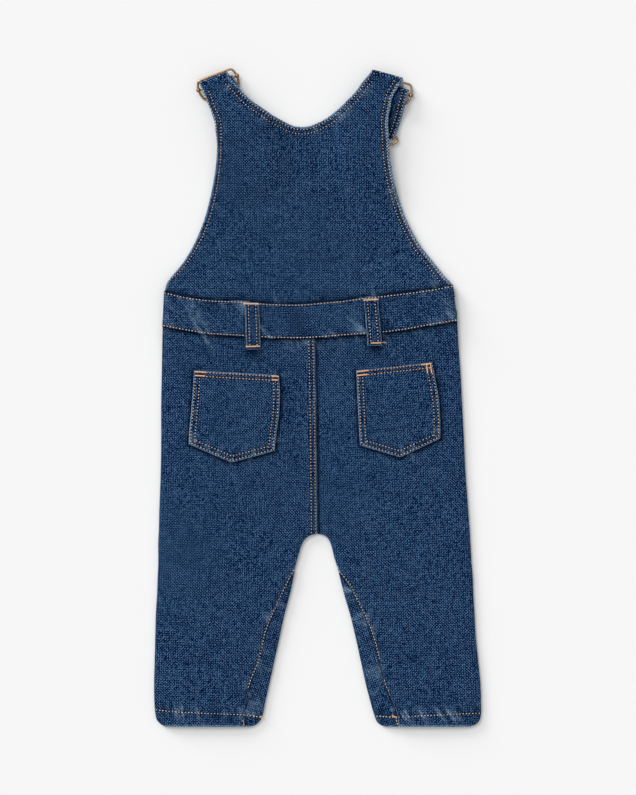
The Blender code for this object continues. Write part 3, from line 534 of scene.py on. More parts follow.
def seam(line, valley, pucker, pitch, reach, slant=0.0, seed=1, wear=1.5):
    """A stitched line with the depth of its valley and its puckers' height, pitch and reach."""
    return {"line": line, "valley": valley, "pucker": pucker, "pitch": pitch, "reach": reach,
            "slant": slant, "seed": seed, "wear": wear}


BACK_SEAMS = (
    seam(NECK_ROWS[0], 0.30, 0.10, 5.0, 4.0, 0.3, 11),
    seam(NECK_ROWS[1], 0.30, 0.22, 5.5, 7.0, 0.2, 12),
    seam(ARM_LEFT_ROWS[0], 0.28, 0.08, 4.0, 3.0, 0.5, 13),
    seam(ARM_LEFT_ROWS[1], 0.28, 0.14, 6.0, 6.0, 0.4, 14),
    seam(ARM_RIGHT_ROWS[0], 0.28, 0.16, 4.0, 3.0, 0.8, 15),
    seam(ARM_RIGHT_ROWS[1], 0.28, 0.14, 6.0, 6.0, 0.4, 16),
    seam(BAND_TOP, 0.0, 0.22, 7.5, 9.0, 0.2, 17),
    seam(BAND_BOTTOM, 0.0, 0.26, 9.0, 13.0, 0.7, 18),
    seam(CENTRE_ROWS[0], 0.26, 0.08, 7.0, 4.0, 0.4, 19),
    seam(CENTRE_ROWS[1], 0.26, 0.12, 9.0, 7.0, 0.4, 20),
    seam(INSEAM_ROW_LEFT, 0.20, 0.24, 9.0, 8.0, 0.5, 21),
    seam(INSEAM_ROW_RIGHT, 0.20, 0.24, 9.0, 8.0, 0.5, 22),
    seam(resample(HEM_ROW_LEFT, 3.0), 0.30, 0.36, 4.6, 8.0, 0.2, 23, 2.0),
    seam(resample(HEM_ROW_RIGHT, 3.0), 0.30, 0.36, 4.6, 8.0, 0.6, 24, 2.0),
    seam(np.vstack(pocket_outline(LEFT_POCKET)), 0.0, 0.16, 9.0, 8.0, 0.2, 25),
    seam(np.vstack(pocket_outline(RIGHT_POCKET)), 0.0, 0.16, 9.0, 8.0, 0.2, 26),
)
CLOSED_EDGES = (SIDE_LEFT, SIDE_RIGHT, SEAM_LEFT[:18], SEAM_RIGHT[:18])


def seam_relief(x, y, seams):
    """Valleys under the thread, and puckers across it that die away on both sides.

    A valley is minus depth times a bell curve of the distance; a pucker is noise of the run
    along the line, sheared by slant times the distance, times a wider bell curve.  The wear is
    the puckers' height times how much of it was rubbed.
    """
    height, wear = np.zeros(np.shape(x)), np.zeros(np.shape(x))
    for line in seams:
        distance, along, side = to_line(x, y, line["line"])
        place = (along + side * line["slant"] * distance) / line["pitch"]
        ripple = wave(place, line["seed"]) + 0.6 * wave(2.3 * place, line["seed"] + 100)
        pucker = line["pucker"] * ripple * np.exp(-(distance / line["reach"]) ** 2)
        height += pucker - line["valley"] * np.exp(-(distance / 0.9) ** 2)
        wear += line["wear"] * pucker
    return height, wear


def crease_relief(x, y, creases):
    """Soft ridges and troughs: a bell curve across each, and a half sine along it."""
    relief = np.zeros(np.shape(x))
    for x0, y0, x1, y1, half, height in creases:
        run = np.array([x1 - x0, y1 - y0])
        along = ((x - x0) * run[0] + (y - y0) * run[1]) / run.dot(run)
        across = ((x - x0) * run[1] - (y - y0) * run[0]) / np.hypot(*run)
        across = across + 0.25 * half * np.sin(5.0 * along + x0)
        inside = np.sin(np.pi * np.clip(along, 0.0, 1.0))
        relief += height * inside * np.exp(-(across / half) ** 2)
    return relief


def closing(x, y, edges):
    """How near a place is to a sewn side, as a bell curve of the distance to it."""
    return sum(np.exp(-(to_line(x, y, line)[0] / 4.0) ** 2) for line in edges)


def back_relief(x, y):
    """What the sewing and lying add to the back's height, and its wear."""
    sewn, wear = seam_relief(x, y, BACK_SEAMS)
    loose = crease_relief(x, y, BACK_CREASES)
    loose = loose + 0.16 * swell(x, y, 34.0, 5) + 0.09 * swell(x + 0.5 * y, y, 15.0, 6)
    distance, _, side = to_line(x, y, CENTRE)
    felled = 0.75 * (side < 0) * fade(distance, 6.0, 9.5) * (y < 62.0) * (y > -118.0)
    sunk = -0.85 * closing(x, y, CLOSED_EDGES)
    return sewn + felled + sunk + loose, wear


def back_top(x, y):
    """Upper face of the back."""
    return back_floor(x, y) + WALL + back_relief(x, y)[0]


# ---------------------------------------------------------------- cloth meshes
def rounded(distance):
    """Half of the wall near a finished edge: a quarter circle of the distance, then level."""
    t = np.clip(distance / (0.55 * WALL), 0.0, 1.0)
    return 0.5 * WALL * np.sqrt(np.maximum(1.0 - (1.0 - t) ** 2, 0.0006))


def grid_normals(points):
    """Unit normals of a grid of points, from its own differences along rows and columns."""
    across = np.gradient(points, axis=1)
    along = np.gradient(points, axis=0)
    normal = np.cross(across, along)
    return normal / np.maximum(np.linalg.norm(normal, axis=2, keepdims=True), 1e-12)


def cloth_shell(name, grids, material, right_side_up=True, flip=None):
    """Closed wall of cloth on one or more grids that share border points.

    Each grid has its middle points, half thickness, pattern place and masks.  The upper face is
    the middle plus the normal times the half thickness, the lower face is minus it, and a rim
    joins the two along every border.
    """
    points = np.vstack([grid["points"].reshape(-1, 3) for grid in grids])
    normals = []
    faces = []
    first = 0
    for grid in grids:
        rows, columns = grid["points"].shape[:2]
        normal = grid_normals(grid["points"])
        turned = normal[..., 2].mean() < 0.0 if flip is None else flip
        index = first + np.arange(rows * columns).reshape(rows, columns)
        quads = np.stack([index[:-1, :-1], index[:-1, 1:], index[1:, 1:], index[1:, :-1]], axis=-1)
        faces.append(quads.reshape(-1, 4)[:, ::-1] if turned else quads.reshape(-1, 4))
        normals.append((-normal if turned else normal).reshape(-1, 3))
        first += rows * columns
    _, kept, merged = np.unique(np.round(points, 4), axis=0, return_index=True,
                                return_inverse=True)
    merged = merged.ravel()
    faces = merged[np.vstack(faces)]
    count = len(kept)
    summed = np.zeros((count, 3))
    np.add.at(summed, merged, np.vstack(normals))
    normal = summed / np.linalg.norm(summed, axis=1, keepdims=True)
    half = np.concatenate([grid["half"].ravel() for grid in grids])[kept][:, None]
    places = np.vstack([grid["place"].reshape(-1, 2) for grid in grids])[kept]
    middle = points[kept]
    vertices = np.vstack([middle + normal * half, middle - normal * half]) * MM
    ahead = np.vstack([faces[:, [k, (k + 1) % 4]] for k in range(4)])
    key = ahead[:, 0] * count + ahead[:, 1]
    back = ahead[:, 1] * count + ahead[:, 0]
    border = ahead[~np.isin(key, back)]
    rim = np.column_stack([border[:, 1], border[:, 0], border[:, 0] + count, border[:, 1] + count])
    every = np.vstack([faces, faces[:, ::-1] + count, rim])
    mesh = bpy.data.meshes.new(name)
    mesh.from_pydata(vertices.tolist(), [], every.tolist())
    layer = mesh.uv_layers.new(name="weave")
    corner = np.zeros(len(mesh.loops), np.int32)
    mesh.loops.foreach_get("vertex_index", corner)
    layer.data.foreach_set("uv", (places[corner % count] * MM * 10.0).astype(np.float32).ravel())
    for mask in grids[0]["masks"]:
        values = np.concatenate([grid["masks"][mask].ravel() for grid in grids])[kept]
        attribute = mesh.attributes.new(mask, "FLOAT", "POINT")
        attribute.data.foreach_set("value", np.tile(values, 2).astype(np.float32))
    wrong = np.repeat([0.0, 1.0] if right_side_up else [1.0, 0.0], count)
    attribute = mesh.attributes.new("wrong_side", "FLOAT", "POINT")
    attribute.data.foreach_set("value", wrong.astype(np.float32))
    mesh.shade_smooth()
    mesh.materials.append(material)
    piece = bpy.data.objects.new(name, mesh)
    bpy.context.scene.collection.objects.link(piece)
    return piece


def laid(piece, nodes):
    """Attach the piece to the root body and hide the imported solids that it stands for."""
    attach(piece, "root")
    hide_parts(*nodes)


def masks(x, y, worn, ridge, grooves):
    """Masks for the wear and the painted shade.

    rim is the distance to the nearest worn edge as a share of that edge's paler width, along is
    the run along that edge in mm, ridge is the puckers' height in mm, and painted_shade is a bell
    curve of the distance to the nearest line where shade is painted: stitch rows and raised edges.
    """
    rim, along = np.full(np.shape(x), 9.0), np.zeros(np.shape(x))
    for line, width in worn:
        distance, run, _ = to_line(x, y, line)
        nearer = distance / width < rim
        rim = np.where(nearer, distance / width, rim)
        along = np.where(nearer, run, along)
    dark = np.zeros(np.shape(x))
    for line, reach in grooves:
        dark = np.maximum(dark, np.exp(-(to_line(x, y, line)[0] / reach) ** 2))
    return {"rim": rim, "along": along, "ridge": ridge, "painted_shade": dark}


def turned(x, y, angle, shift):
    """Pattern places: the plan turned by an angle and moved, so that no two pieces match."""
    angle = math.radians(angle)
    return np.dstack([x * math.cos(angle) - y * math.sin(angle) + shift,
                      x * math.sin(angle) + y * math.cos(angle) + 1.7 * shift])


def back_grid(plan, worn, grooves, finished, angle, shift):
    """A grid of the back layer: plan places with the back's height and the masks of its wear and
    painted shade.
    """
    x, y = plan[..., 0], plan[..., 1]
    relief, wear = back_relief(x, y)
    height = back_floor(x, y) + 0.5 * WALL + relief
    distance = np.full(x.shape, 99.0)
    for line in finished:
        distance = np.minimum(distance, to_line(x, y, line)[0])
    return {"points": np.dstack([plan, height]), "half": rounded(distance),
            "place": turned(x, y, angle, shift), "masks": masks(x, y, worn, wear, grooves)}


def stacked(*tables):
    """Sections of joined tables, without repeating the shared row."""
    return np.vstack([tables[0]] + [table[1:] for table in tables[1:]])


def make_back_bib(material):
    """Back bib with both shoulders: a grid each side of the centre line, up to its shoulder."""
    body = sections(BACK_BIB, STEP)
    finished = (ARM_LEFT, ARM_RIGHT, NECK)
    worn = ((ARM_LEFT, 1.9), (ARM_RIGHT, 3.4), (NECK, 2.2))
    # Painted shade along the stitch rows, and on the bib just above the waistband's top edge.
    grooves = [(row, 0.9) for row in (*NECK_ROWS, *ARM_LEFT_ROWS, *ARM_RIGHT_ROWS)]
    grooves += [(BAND_TOP, 2.0)]
    grids = []
    for shoulder, columns in ((LEFT_SHOULDER, (0, 1)), (RIGHT_SHOULDER, (4, 5))):
        top = sections(shoulder, STEP)
        outer = stacked(body[:, columns], top[:, 0:2])
        inner = stacked(body[:, 2:4], top[:, 2:4])
        plan = loft(outer, inner, STEP)
        grids.append(back_grid(plan, worn, grooves, finished, 0.0, 3.0))
    piece = cloth_shell("back_bib_cloth", grids, material)
    laid(piece, ["back_bib"])


def make_back_leg(side, hip, leg, row, hem_row, material):
    """Back leg from the waistband to the hem; its inner edge is the centre seam, then the inseam."""
    hips, legs = sections(hip, STEP), sections(leg[:, 0:4], STEP, rim_at_end=True)
    outer = stacked(hips[:, 0:2], legs[:, 0:2])
    inner = stacked(hips[:, 2:4], legs[:, 2:4])
    plan = loft(outer, inner, STEP)
    left = side == "left"
    hem = HEM_LEFT if left else HEM_RIGHT
    finished = (outer, inner, hem)
    worn = [(inner[len(hips):], 0.9), (hem, 2.2)]
    worn += [(inner[:len(hips)], 0.8)] if left else []
    pocket = LEFT_POCKET if left else RIGHT_POCKET
    loop = LEFT_LOOP if left else RIGHT_LOOP
    # Painted shade: along the rows, below the waistband, round the pockets, round the belt loop's
    # foot, and along the centre seam's rows on the left or beside its lapped edge on the right.
    grooves = [(row, 0.9), (resample(hem_row, 3.0), 0.9), (BAND_BOTTOM, 2.2)]
    grooves += [(inset(line, -0.6), 1.9) for line in pocket_outline(pocket)]
    grooves += [(loop[-3:, 0:2], 6.9)]
    grooves += [(line, 1.0) for line in CENTRE_ROWS] if left else [(CENTRE_SHADE_LINE, 1.2)]
    grid = back_grid(plan, worn, grooves, finished, 1.5 if left else -2.0, 40.0 if left else 90.0)
    piece = cloth_shell("back_leg_cloth_" + side, [grid], material)
    laid(piece, ["back_leg_" + side])


def lying_grid(plan, floor, relief, finished, grooves, angle, shift, worn=(), width=1.6):
    """A grid of a piece that lies on a floor height, with its own relief, wear and painted shade."""
    x, y = plan[..., 0], plan[..., 1]
    height = floor + 0.5 * WALL + relief[0]
    distance = np.full(x.shape, 99.0)
    for line in finished:
        distance = np.minimum(distance, to_line(x, y, line)[0])
    return {"points": np.dstack([plan, height]), "half": rounded(distance),
            "place": turned(x, y, angle, shift),
            "masks": masks(x, y, [(line, width) for line in worn], relief[1], grooves)}


def band_relief(x, y):
    """Puckers of the waistband: crossing ripples from both stitched edges, and two loops' pull."""
    lines = (seam(BAND_ROWS[0], 0.30, 0.30, 6.0, 10.0, 0.9, 31, 1.3),
             seam(BAND_ROWS[1], 0.30, 0.30, 7.0, 11.0, 0.9, 32, 1.3))
    sewn, wear = seam_relief(x, y, lines)
    loose = 0.22 * swell(x, 0.6 * y, 11.0, 33) + 0.14 * swell(x + 0.8 * y, 0.5 * y, 5.0, 34)
    return sewn + BAND_LIFT + loose, wear + 1.1 * loose


def band_top(x, y):
    """Upper face of the back waistband."""
    return back_top(x, y) + LAY + WALL + band_relief(x, y)[0]


def make_back_band(material):
    """Back waistband from side to side, lying on the bib's and the legs' ends."""
    rows = sections(BAND, STEP)
    plan = loft(rows[:, 2:4], rows[:, 0:2], 1.4)
    x, y = plan[..., 0], plan[..., 1]
    ends = (rows[[0, 0]][:, [0, 1]] + 0.0, rows[[-1, -1]][:, [0, 1]] + 0.0)
    ends[0][1], ends[1][1] = rows[0, 2:4], rows[-1, 2:4]
    finished = (BAND_TOP, BAND_BOTTOM, *ends)
    # Painted shade along the band's rows, beside the belt loops' long edges and along the band's own
    # edges.
    grooves = [(row, 0.9) for row in BAND_ROWS]
    grooves += [(side_of(loop, sign), 1.4) for loop in (LEFT_LOOP, RIGHT_LOOP) for sign in (-1, 1)]
    floor = back_top(x, y) + LAY - 0.9 * closing(x, y, ends)
    grooves += [(BAND_TOP, 1.0), (BAND_BOTTOM, 0.8)]
    grid = lying_grid(plan, floor, band_relief(x, y), finished, grooves, BAND_GRAIN, 130.0)
    piece = cloth_shell("back_waistband_cloth", [grid], material)
    laid(piece, ["back_waistband"])


def side_of(loop, sign):
    """One long edge of a belt loop."""
    return resample(loop[:, 0:2] + np.array([sign * LOOP_HALF, 0.0]), 3.0)


def make_strip(side, leg, material):
    """Strip of the front leg turned on to the back, puckered across by its seam."""
    sign = -1.0 if side == "left" else 1.0
    rows = sections(leg[STRIP_START:], STEP, rim_at_end=True)
    seam_edge = rows[:, 2:4] - np.array([sign * GAP, 0.0])
    turn = rows[:, 4:6]
    plan = loft(seam_edge, turn, 1.4)
    x, y = plan[..., 0], plan[..., 1]
    left = side == "left"
    hem_row = resample(HEM_ROW_LEFT if left else HEM_ROW_RIGHT, 3.0)
    lines = (seam(seam_edge, 0.0, 0.30, 8.0, 14.0, 0.2 * sign, 41 if left else 42, 1.1),
             seam(turn, 0.0, 0.18, 5.0, 7.0, -0.4 * sign, 43 if left else 44, 1.1),
             seam(hem_row, 0.28, 0.30, 5.0, 7.0, 0.2, 45 if left else 46, 1.6))
    sewn, wear = seam_relief(x, y, lines)
    loose = 0.18 * swell(0.7 * x, y, 6.0, 47)
    hem = HEM_LEFT if left else HEM_RIGHT
    end = plan[0]
    near = np.exp(-(to_line(x, y, seam_edge)[0] / 7.0) ** 2)
    floor = front_floor(x, y) + WALL + GAP + 0.15 + 0.8 * near * hollow(x, y)
    floor = floor - 0.5 * closing(x, y, (turn,))
    # Painted shade beside the back leg's edge and along the hem's row.
    grid = lying_grid(plan, floor, (sewn + loose, wear + loose),
                      (seam_edge, turn, hem, end), [(seam_edge, 1.2), (hem_row, 0.9)],
                      -17.0 * sign, 160.0 + 30.0 * sign, (hem,))
    piece = cloth_shell("inseam_strip_cloth_" + side, [grid], material)
    laid(piece, ["inseam_strip_" + side])


def pocket_relief(x, y, table, seed):
    """Relief of a patch pocket: a slight belly, a valley at both rows and puckers at the foot."""
    outer, inner = POCKET_ROWS
    lines = [seam(line, 0.24, 0.0, 7.0, 3.0, 0.0, seed) for line in pocket_row(table, inner)]
    lines += [seam(line, 0.16, 0.0, 7.0, 3.0, 0.0, seed) for line in pocket_row(table, outer)]
    outline = pocket_outline(table)
    lines += [seam(np.vstack([outline[1], outline[2][1:]]), 0.0, 0.30, 5.0, 10.0, 0.0, seed + 1),
              seam(outline[0], 0.0, 0.16, 6.0, 8.0, 0.2, seed + 2),
              seam(outline[3], 0.0, 0.16, 6.0, 8.0, 0.2, seed + 3)]
    sewn, wear = seam_relief(x, y, lines)
    return sewn + BAND_LIFT + 0.14 * swell(x, y, 16.0, seed + 4), wear


def pocket_top(table, seed):
    """Function that gives a pocket's upper face."""
    def top(x, y):
        """The back's face, the clearance, the wall and the pocket's own relief."""
        return back_top(x, y) + LAY + WALL + pocket_relief(x, y, table, seed)[0]
    return top


def make_pocket(side, table, seed, material):
    """Patch pocket with a pointed foot, hemmed at its mouth."""
    rows = sections(table, 1.5, rim_at_start=True, rim_at_end=True)
    plan = loft(rows[:, 0:2], rows[:, 2:4], 1.5, sag=rows[:, 4])
    x, y = plan[..., 0], plan[..., 1]
    outline = pocket_outline(table)
    mouth = np.array([rows[0, 0:2], rows[0, 2:4]])
    # Painted shade along the pocket's rows of stitches.
    grooves = [(line, 0.8) for distance in POCKET_ROWS for line in pocket_row(table, distance)]
    grooves += [(mouth_row(table, distance), 0.8) for distance in MOUTH_ROWS]
    grid = lying_grid(plan, back_top(x, y) + LAY, pocket_relief(x, y, table, seed),
                      (*outline, mouth), grooves, 3.0 if side == "left" else -4.0, seed * 5.0,
                      (*outline, mouth), 1.25)
    piece = cloth_shell("back_pocket_cloth_" + side, [grid], material)
    laid(piece, ["back_pocket_" + side])


def mouth_row(table, distance):
    """A row of stitches below a pocket's mouth."""
    corner = table[0, 0:2] + np.array([1.2, -distance]), table[0, 2:4] + np.array([-1.2, -distance])
    return np.array(corner)


def loop_top(table):
    """Function that gives a belt loop's upper face: on the band, then down on to the leg."""
    def top(x, y):
        """The back's face and a wall, and above the waistband's height another."""
        share = np.interp(y, table[::-1, 1], table[::-1, 2])
        low = back_top(x, y) + LAY + WALL
        return low + share * (WALL + LAY + 0.45) + 0.10
    return top


def make_loop(side, table, seed, material):
    """Belt loop on the waistband, its foot sewn to the leg."""
    rows = sections(table, 1.2, rim_at_start=True, rim_at_end=True)
    half = np.array([LOOP_HALF, 0.0])
    plan = loft(rows[:, 0:2] - half, rows[:, 0:2] + half, 1.0)
    x, y = plan[..., 0], plan[..., 1]
    edges = (side_of(table, -1), side_of(table, 1), plan[0], plan[-1])
    lines = [seam(side_row(table, sign), 0.26, 0.0, 5.0, 3.0, 0.0, seed) for sign in (-1, 1)]
    sewn, wear = seam_relief(x, y, lines)
    loose = 0.10 * swell(x, y, 6.0, seed)
    # Painted shade along the loop's two rows of stitches.
    grid = lying_grid(plan, loop_top(table)(x, y) - WALL, (sewn + loose, wear + loose), edges,
                      [(line["line"], 1.0) for line in lines], LOOP_GRAIN, seed * 3.0, edges,
                      1.0)
    piece = cloth_shell("belt_loop_cloth_" + side, [grid], material)
    laid(piece, ["belt_loop_" + side])


def side_row(table, sign):
    """A belt loop's row of stitches, inside one long edge."""
    return part_of(side_of(table, sign) - np.array([sign * LOOP_ROW, 0.0]), 0.03, 0.93)


def make_front_bib(material):
    """Front bib, wrong side up, lying on the plane and over the clips and buttons."""
    body = sections(FRONT_BIB, HIDDEN_STEP, rim_at_end=True)
    left, centre, right = (body[:, k:k + 2] for k in (0, 2, 4))
    top = np.vstack([left[-1], centre[-1], right[-1]])
    finished = (left, right, top)
    grids = []
    for outer in (left, right):
        plan = loft(outer, centre, HIDDEN_STEP, rim_right=False)
        x, y = plan[..., 0], plan[..., 1]
        relief = 0.10 + 0.10 * swell(x, y, 30.0, 51)
        # Painted shade along the bib's left edge.
        grids.append(lying_grid(plan, front_floor(x, y), (relief, 0.0 * x), finished,
                                [(left, 2.0)], 0.0, 220.0))
    piece = cloth_shell("front_bib_cloth", grids, material, right_side_up=False)
    laid(piece, ["front_bib"])


def make_front_band(material):
    """Front waistband, right side down on the plane."""
    rows = sections(BAND, HIDDEN_STEP)
    plan = loft(rows[:, 2:4], rows[:, 0:2], HIDDEN_STEP)
    x, y = plan[..., 0], plan[..., 1]
    ends = (np.array([rows[0, 0:2], rows[0, 2:4]]), np.array([rows[-1, 0:2], rows[-1, 2:4]]))
    floor = 0.0 * x + 0.9 * closing(x, y, ends)
    # Painted shade along the band's rows.
    grid = lying_grid(plan, floor, (0.0 * x, 0.0 * x), (BAND_TOP, BAND_BOTTOM, *ends),
                      [(row, 0.9) for row in BAND_ROWS], BAND_GRAIN, 260.0)
    piece = cloth_shell("front_waistband_cloth", [grid], material, right_side_up=False)
    laid(piece, ["front_waistband"])


def make_front_leg(side, hip, leg, material):
    """Front leg, right side down, out to the turn where it rolls up on to the back."""
    hips, legs = sections(hip, HIDDEN_STEP), sections(leg, HIDDEN_STEP, rim_at_end=True)
    outer = stacked(hips[:, 0:2], legs[:, 0:2])
    turn = stacked(hips[:, 2:4], legs[:, 4:6])
    plan = loft(outer, turn, HIDDEN_STEP)
    x, y = plan[..., 0], plan[..., 1]
    hem = HEM_LEFT if side == "left" else HEM_RIGHT
    relief = 0.06 * (1.0 + swell(x, y, 30.0, 61))
    floor = front_floor(x, y) + 0.55 * closing(x, y, (outer, turn))
    hem_row = resample(HEM_ROW_LEFT if side == "left" else HEM_ROW_RIGHT, 3.0)
    # Painted shade along the hem's row.
    grid = lying_grid(plan, floor, (relief, 0.0 * x), (outer, turn, hem), [(hem_row, 0.9)],
                      1.0, 300.0, (hem,))
    piece = cloth_shell("front_leg_cloth_" + side, [grid], material, right_side_up=False)
    laid(piece, ["front_leg_" + side])


def strap_surface(fold, table, shoulder):
    """Middle surface of a strap: the bib's end line first, then its path, and its pattern places.

    Across the strap the points lie evenly between its edges, and along it they follow the
    spline through the path's rows, whose first row is replaced by the end of the bib.
    """
    dense = np.linspace(0.0, len(table) - 1.0, 30 * (len(table) - 1) + 1)
    path = spline(table, dense)
    run = np.concatenate([[0.0], np.hypot(np.diff(path[:, 0]), np.diff(path[:, 2])).cumsum()])
    wanted = spaced(run[-1], 1.2, False, True)
    rows = spline(table, np.interp(wanted, run, dense))
    half = rows[:, 3]
    rim = RIM[:9]
    offset = np.concatenate([rim, np.linspace(rim[-1], 2 * STRAP_HALF - rim[-1], 9)[1:-1],
                             2 * STRAP_HALF - rim[::-1]]) - STRAP_HALF
    across = rows[:, 1][:, None] + offset[None, :] * (half / STRAP_HALF)[:, None]
    x, y = fold_place(fold, rows[:, 0][:, None] + 0.0 * across, across)
    z = rows[:, 2][:, None] + 0.0 * across
    start, end = shoulder[-1, 0:2], shoulder[-1, 2:4]
    if start[0] > end[0]:
        start, end = end, start
    share = (offset / STRAP_HALF + 1.0) / 2.0
    line = start[None, :] + share[:, None] * (end - start)[None, :]
    top = back_top(line[:, 0], line[:, 1]) - 0.5 * WALL
    joining = fade(wanted, 0.0, 2.4)[:, None]
    x = x * (1 - joining) + line[:, 0][None, :] * joining
    y = y * (1 - joining) + line[:, 1][None, :] * joining
    z = z * (1 - joining) + top[None, :] * joining
    place = np.dstack([offset[None, :] + 0.0 * across, wanted[:, None] + 0.0 * across])
    return np.dstack([x, y, z]), place, wanted, offset


# rows of stitches across a strap from its middle, its armhole side being negative
STRAP_ROWS = (-10.2, -7.0, 5.4, 9.2)


def make_strap(side, fold, table, shoulder, material):
    """Strap from the shoulder over the fold, under the back, round the clip and to the slider."""
    points, place, run, offset = strap_surface(fold, table, shoulder)
    inside = STRAP_HALF - np.abs(offset)[None, :] + 0.0 * run[:, None]
    distance = np.minimum(inside, (run[-1] - run)[:, None])
    armhole = -1.0 if side == "left" else 1.0
    # The rows sink the cloth and also carry painted shade along them.
    dark = sum(np.exp(-((-armhole * offset - row) / 0.8) ** 2) for row in STRAP_ROWS)
    dark = dark[None, :] + 0.0 * run[:, None]
    relief = 0.20 * wave(run / 3.5, 71)[:, None] * np.exp(-(inside / 4.0) ** 2)
    normal = grid_normals(points)
    flip = normal[0, :, 2].mean() < 0.0
    normal = -normal if flip else normal
    points = points + normal * (relief - 0.22 * dark)[..., None]
    # Painted shade on the strap beside the back's armhole edge, where it runs under the back.
    beside, _, _ = to_line(points[..., 0], points[..., 1], ARM_LEFT if side == "left" else ARM_RIGHT)
    shade_under_back = np.exp(-(beside / 2.2) ** 2) * (run[:, None] > 12.0)
    grid = {"points": points, "half": rounded(distance), "place": place,
            "masks": {"rim": distance / 1.9, "along": run[:, None] + 0.0 * inside,
                      "ridge": relief, "painted_shade": np.maximum(dark, shade_under_back)}}
    piece = cloth_shell("strap_cloth_" + side, [grid], material, flip=flip)
    laid(piece, ["strap_" + side])
    return points, normal, offset


# ---------------------------------------------------------------- thread
def stitches(name, centres, ways, ups, length, radius, material, seed=3, lift=0.55):
    """Stitches as small bent loops: a six-sided tube whose middle stands proud and ends dip.

    Ring k of a stitch is its centre plus the way times a share of the length, plus the up
    direction times a parabola of that share; the ring's radius is smaller at both ends.
    """
    rng = np.random.default_rng(seed)
    count = len(centres)
    share = np.array([-0.5, -0.40, -0.18, 0.0, 0.18, 0.40, 0.5])
    girth = np.array([0.30, 0.80, 1.0, 1.05, 1.0, 0.80, 0.30])
    angle = np.arange(6) * math.pi / 3
    turn = rng.normal(0.0, 0.10, count)
    side = np.cross(ups, ways)
    side /= np.linalg.norm(side, axis=1, keepdims=True)
    way = ways * np.cos(turn)[:, None] + side * np.sin(turn)[:, None]
    side = np.cross(ups, way)
    side /= np.linalg.norm(side, axis=1, keepdims=True)
    size = length * rng.uniform(0.92, 1.05, count)
    thick = radius * rng.uniform(0.92, 1.10, count)
    rise = (lift * (1.0 - 4.0 * share ** 2) - 0.35)[None, :] * thick[:, None]
    middle = (centres[:, None, :] + way[:, None, :] * (share[None, :] * size[:, None])[..., None]
              + ups[:, None, :] * rise[..., None])
    ring = (side[:, None, None, :] * np.cos(angle)[None, None, :, None] * 1.15
            + ups[:, None, None, :] * np.sin(angle)[None, None, :, None] * 0.85)
    ring = ring * (girth[None, :, None, None] * thick[:, None, None, None])
    vertices = (middle[:, :, None, :] + ring).reshape(-1, 3) * MM
    rings = len(share)
    index = np.arange(rings * 6).reshape(rings, 6)
    around = np.roll(index, -1, axis=1)
    quads = np.stack([index[:-1], around[:-1], around[1:], index[1:]], axis=-1).reshape(-1, 4)
    caps = np.array([index[0][::-1], index[-1]])
    base = (np.arange(count) * rings * 6)[:, None, None]
    faces = (quads[None] + base).reshape(-1, 4).tolist()
    faces += (caps[None] + base).reshape(-1, 6).tolist()
    mesh = bpy.data.meshes.new(name)
    mesh.from_pydata(vertices.tolist(), [], faces)
    layer = mesh.uv_layers.new(name="ply")
    corner = np.zeros(len(mesh.loops), np.int32)
    mesh.loops.foreach_get("vertex_index", corner)
    local = corner % (rings * 6)
    along = share[local // 6] * length + 7.0 * (corner // (rings * 6))
    layer.data.foreach_set("uv", np.column_stack([along, local % 6 / 6.0]).astype(
        np.float32).ravel())
    mesh.shade_smooth()
    mesh.materials.append(material)
    piece = bpy.data.objects.new(name, mesh)
    bpy.context.scene.collection.objects.link(piece)
    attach(piece, "root")
    return piece


def row_places(line, top, pitch, seed):
    """Centres, ways and up directions of the stitches along a line on an upper face.

    The face's slope comes from its height 0.5 mm to each side of the centre.
    """
    total = run_of(line)
    count = max(1, int(total / pitch))
    along = (np.arange(count) + 0.5) * total / count
    along = along + np.random.default_rng(seed).normal(0.0, 0.07, count)
    place, way = polyline_at(line, along)
    x, y = place.T
    height = top(x, y)
    slope_x = (top(x + 0.5, y) - top(x - 0.5, y))
    slope_y = (top(x, y + 0.5) - top(x, y - 0.5))
    up = np.column_stack([-slope_x, -slope_y, np.ones(count)])
    up /= np.linalg.norm(up, axis=1, keepdims=True)
    ahead = np.column_stack([way, way[:, 0] * slope_x + way[:, 1] * slope_y])
    ahead /= np.linalg.norm(ahead, axis=1, keepdims=True)
    return np.column_stack([x, y, height]), ahead, up


def sew(name, lines, top, material, seed, length=STITCH_LENGTH, pitch=STITCH_PITCH):
    """Rows of stitches on one upper face, as one piece."""
    parts = [row_places(line, top, pitch, seed + k) for k, line in enumerate(lines)]
    centres, ways, ups = (np.vstack([part[k] for part in parts]) for k in range(3))
    return stitches(name, centres, ways, ups, length, THREAD, material, seed)


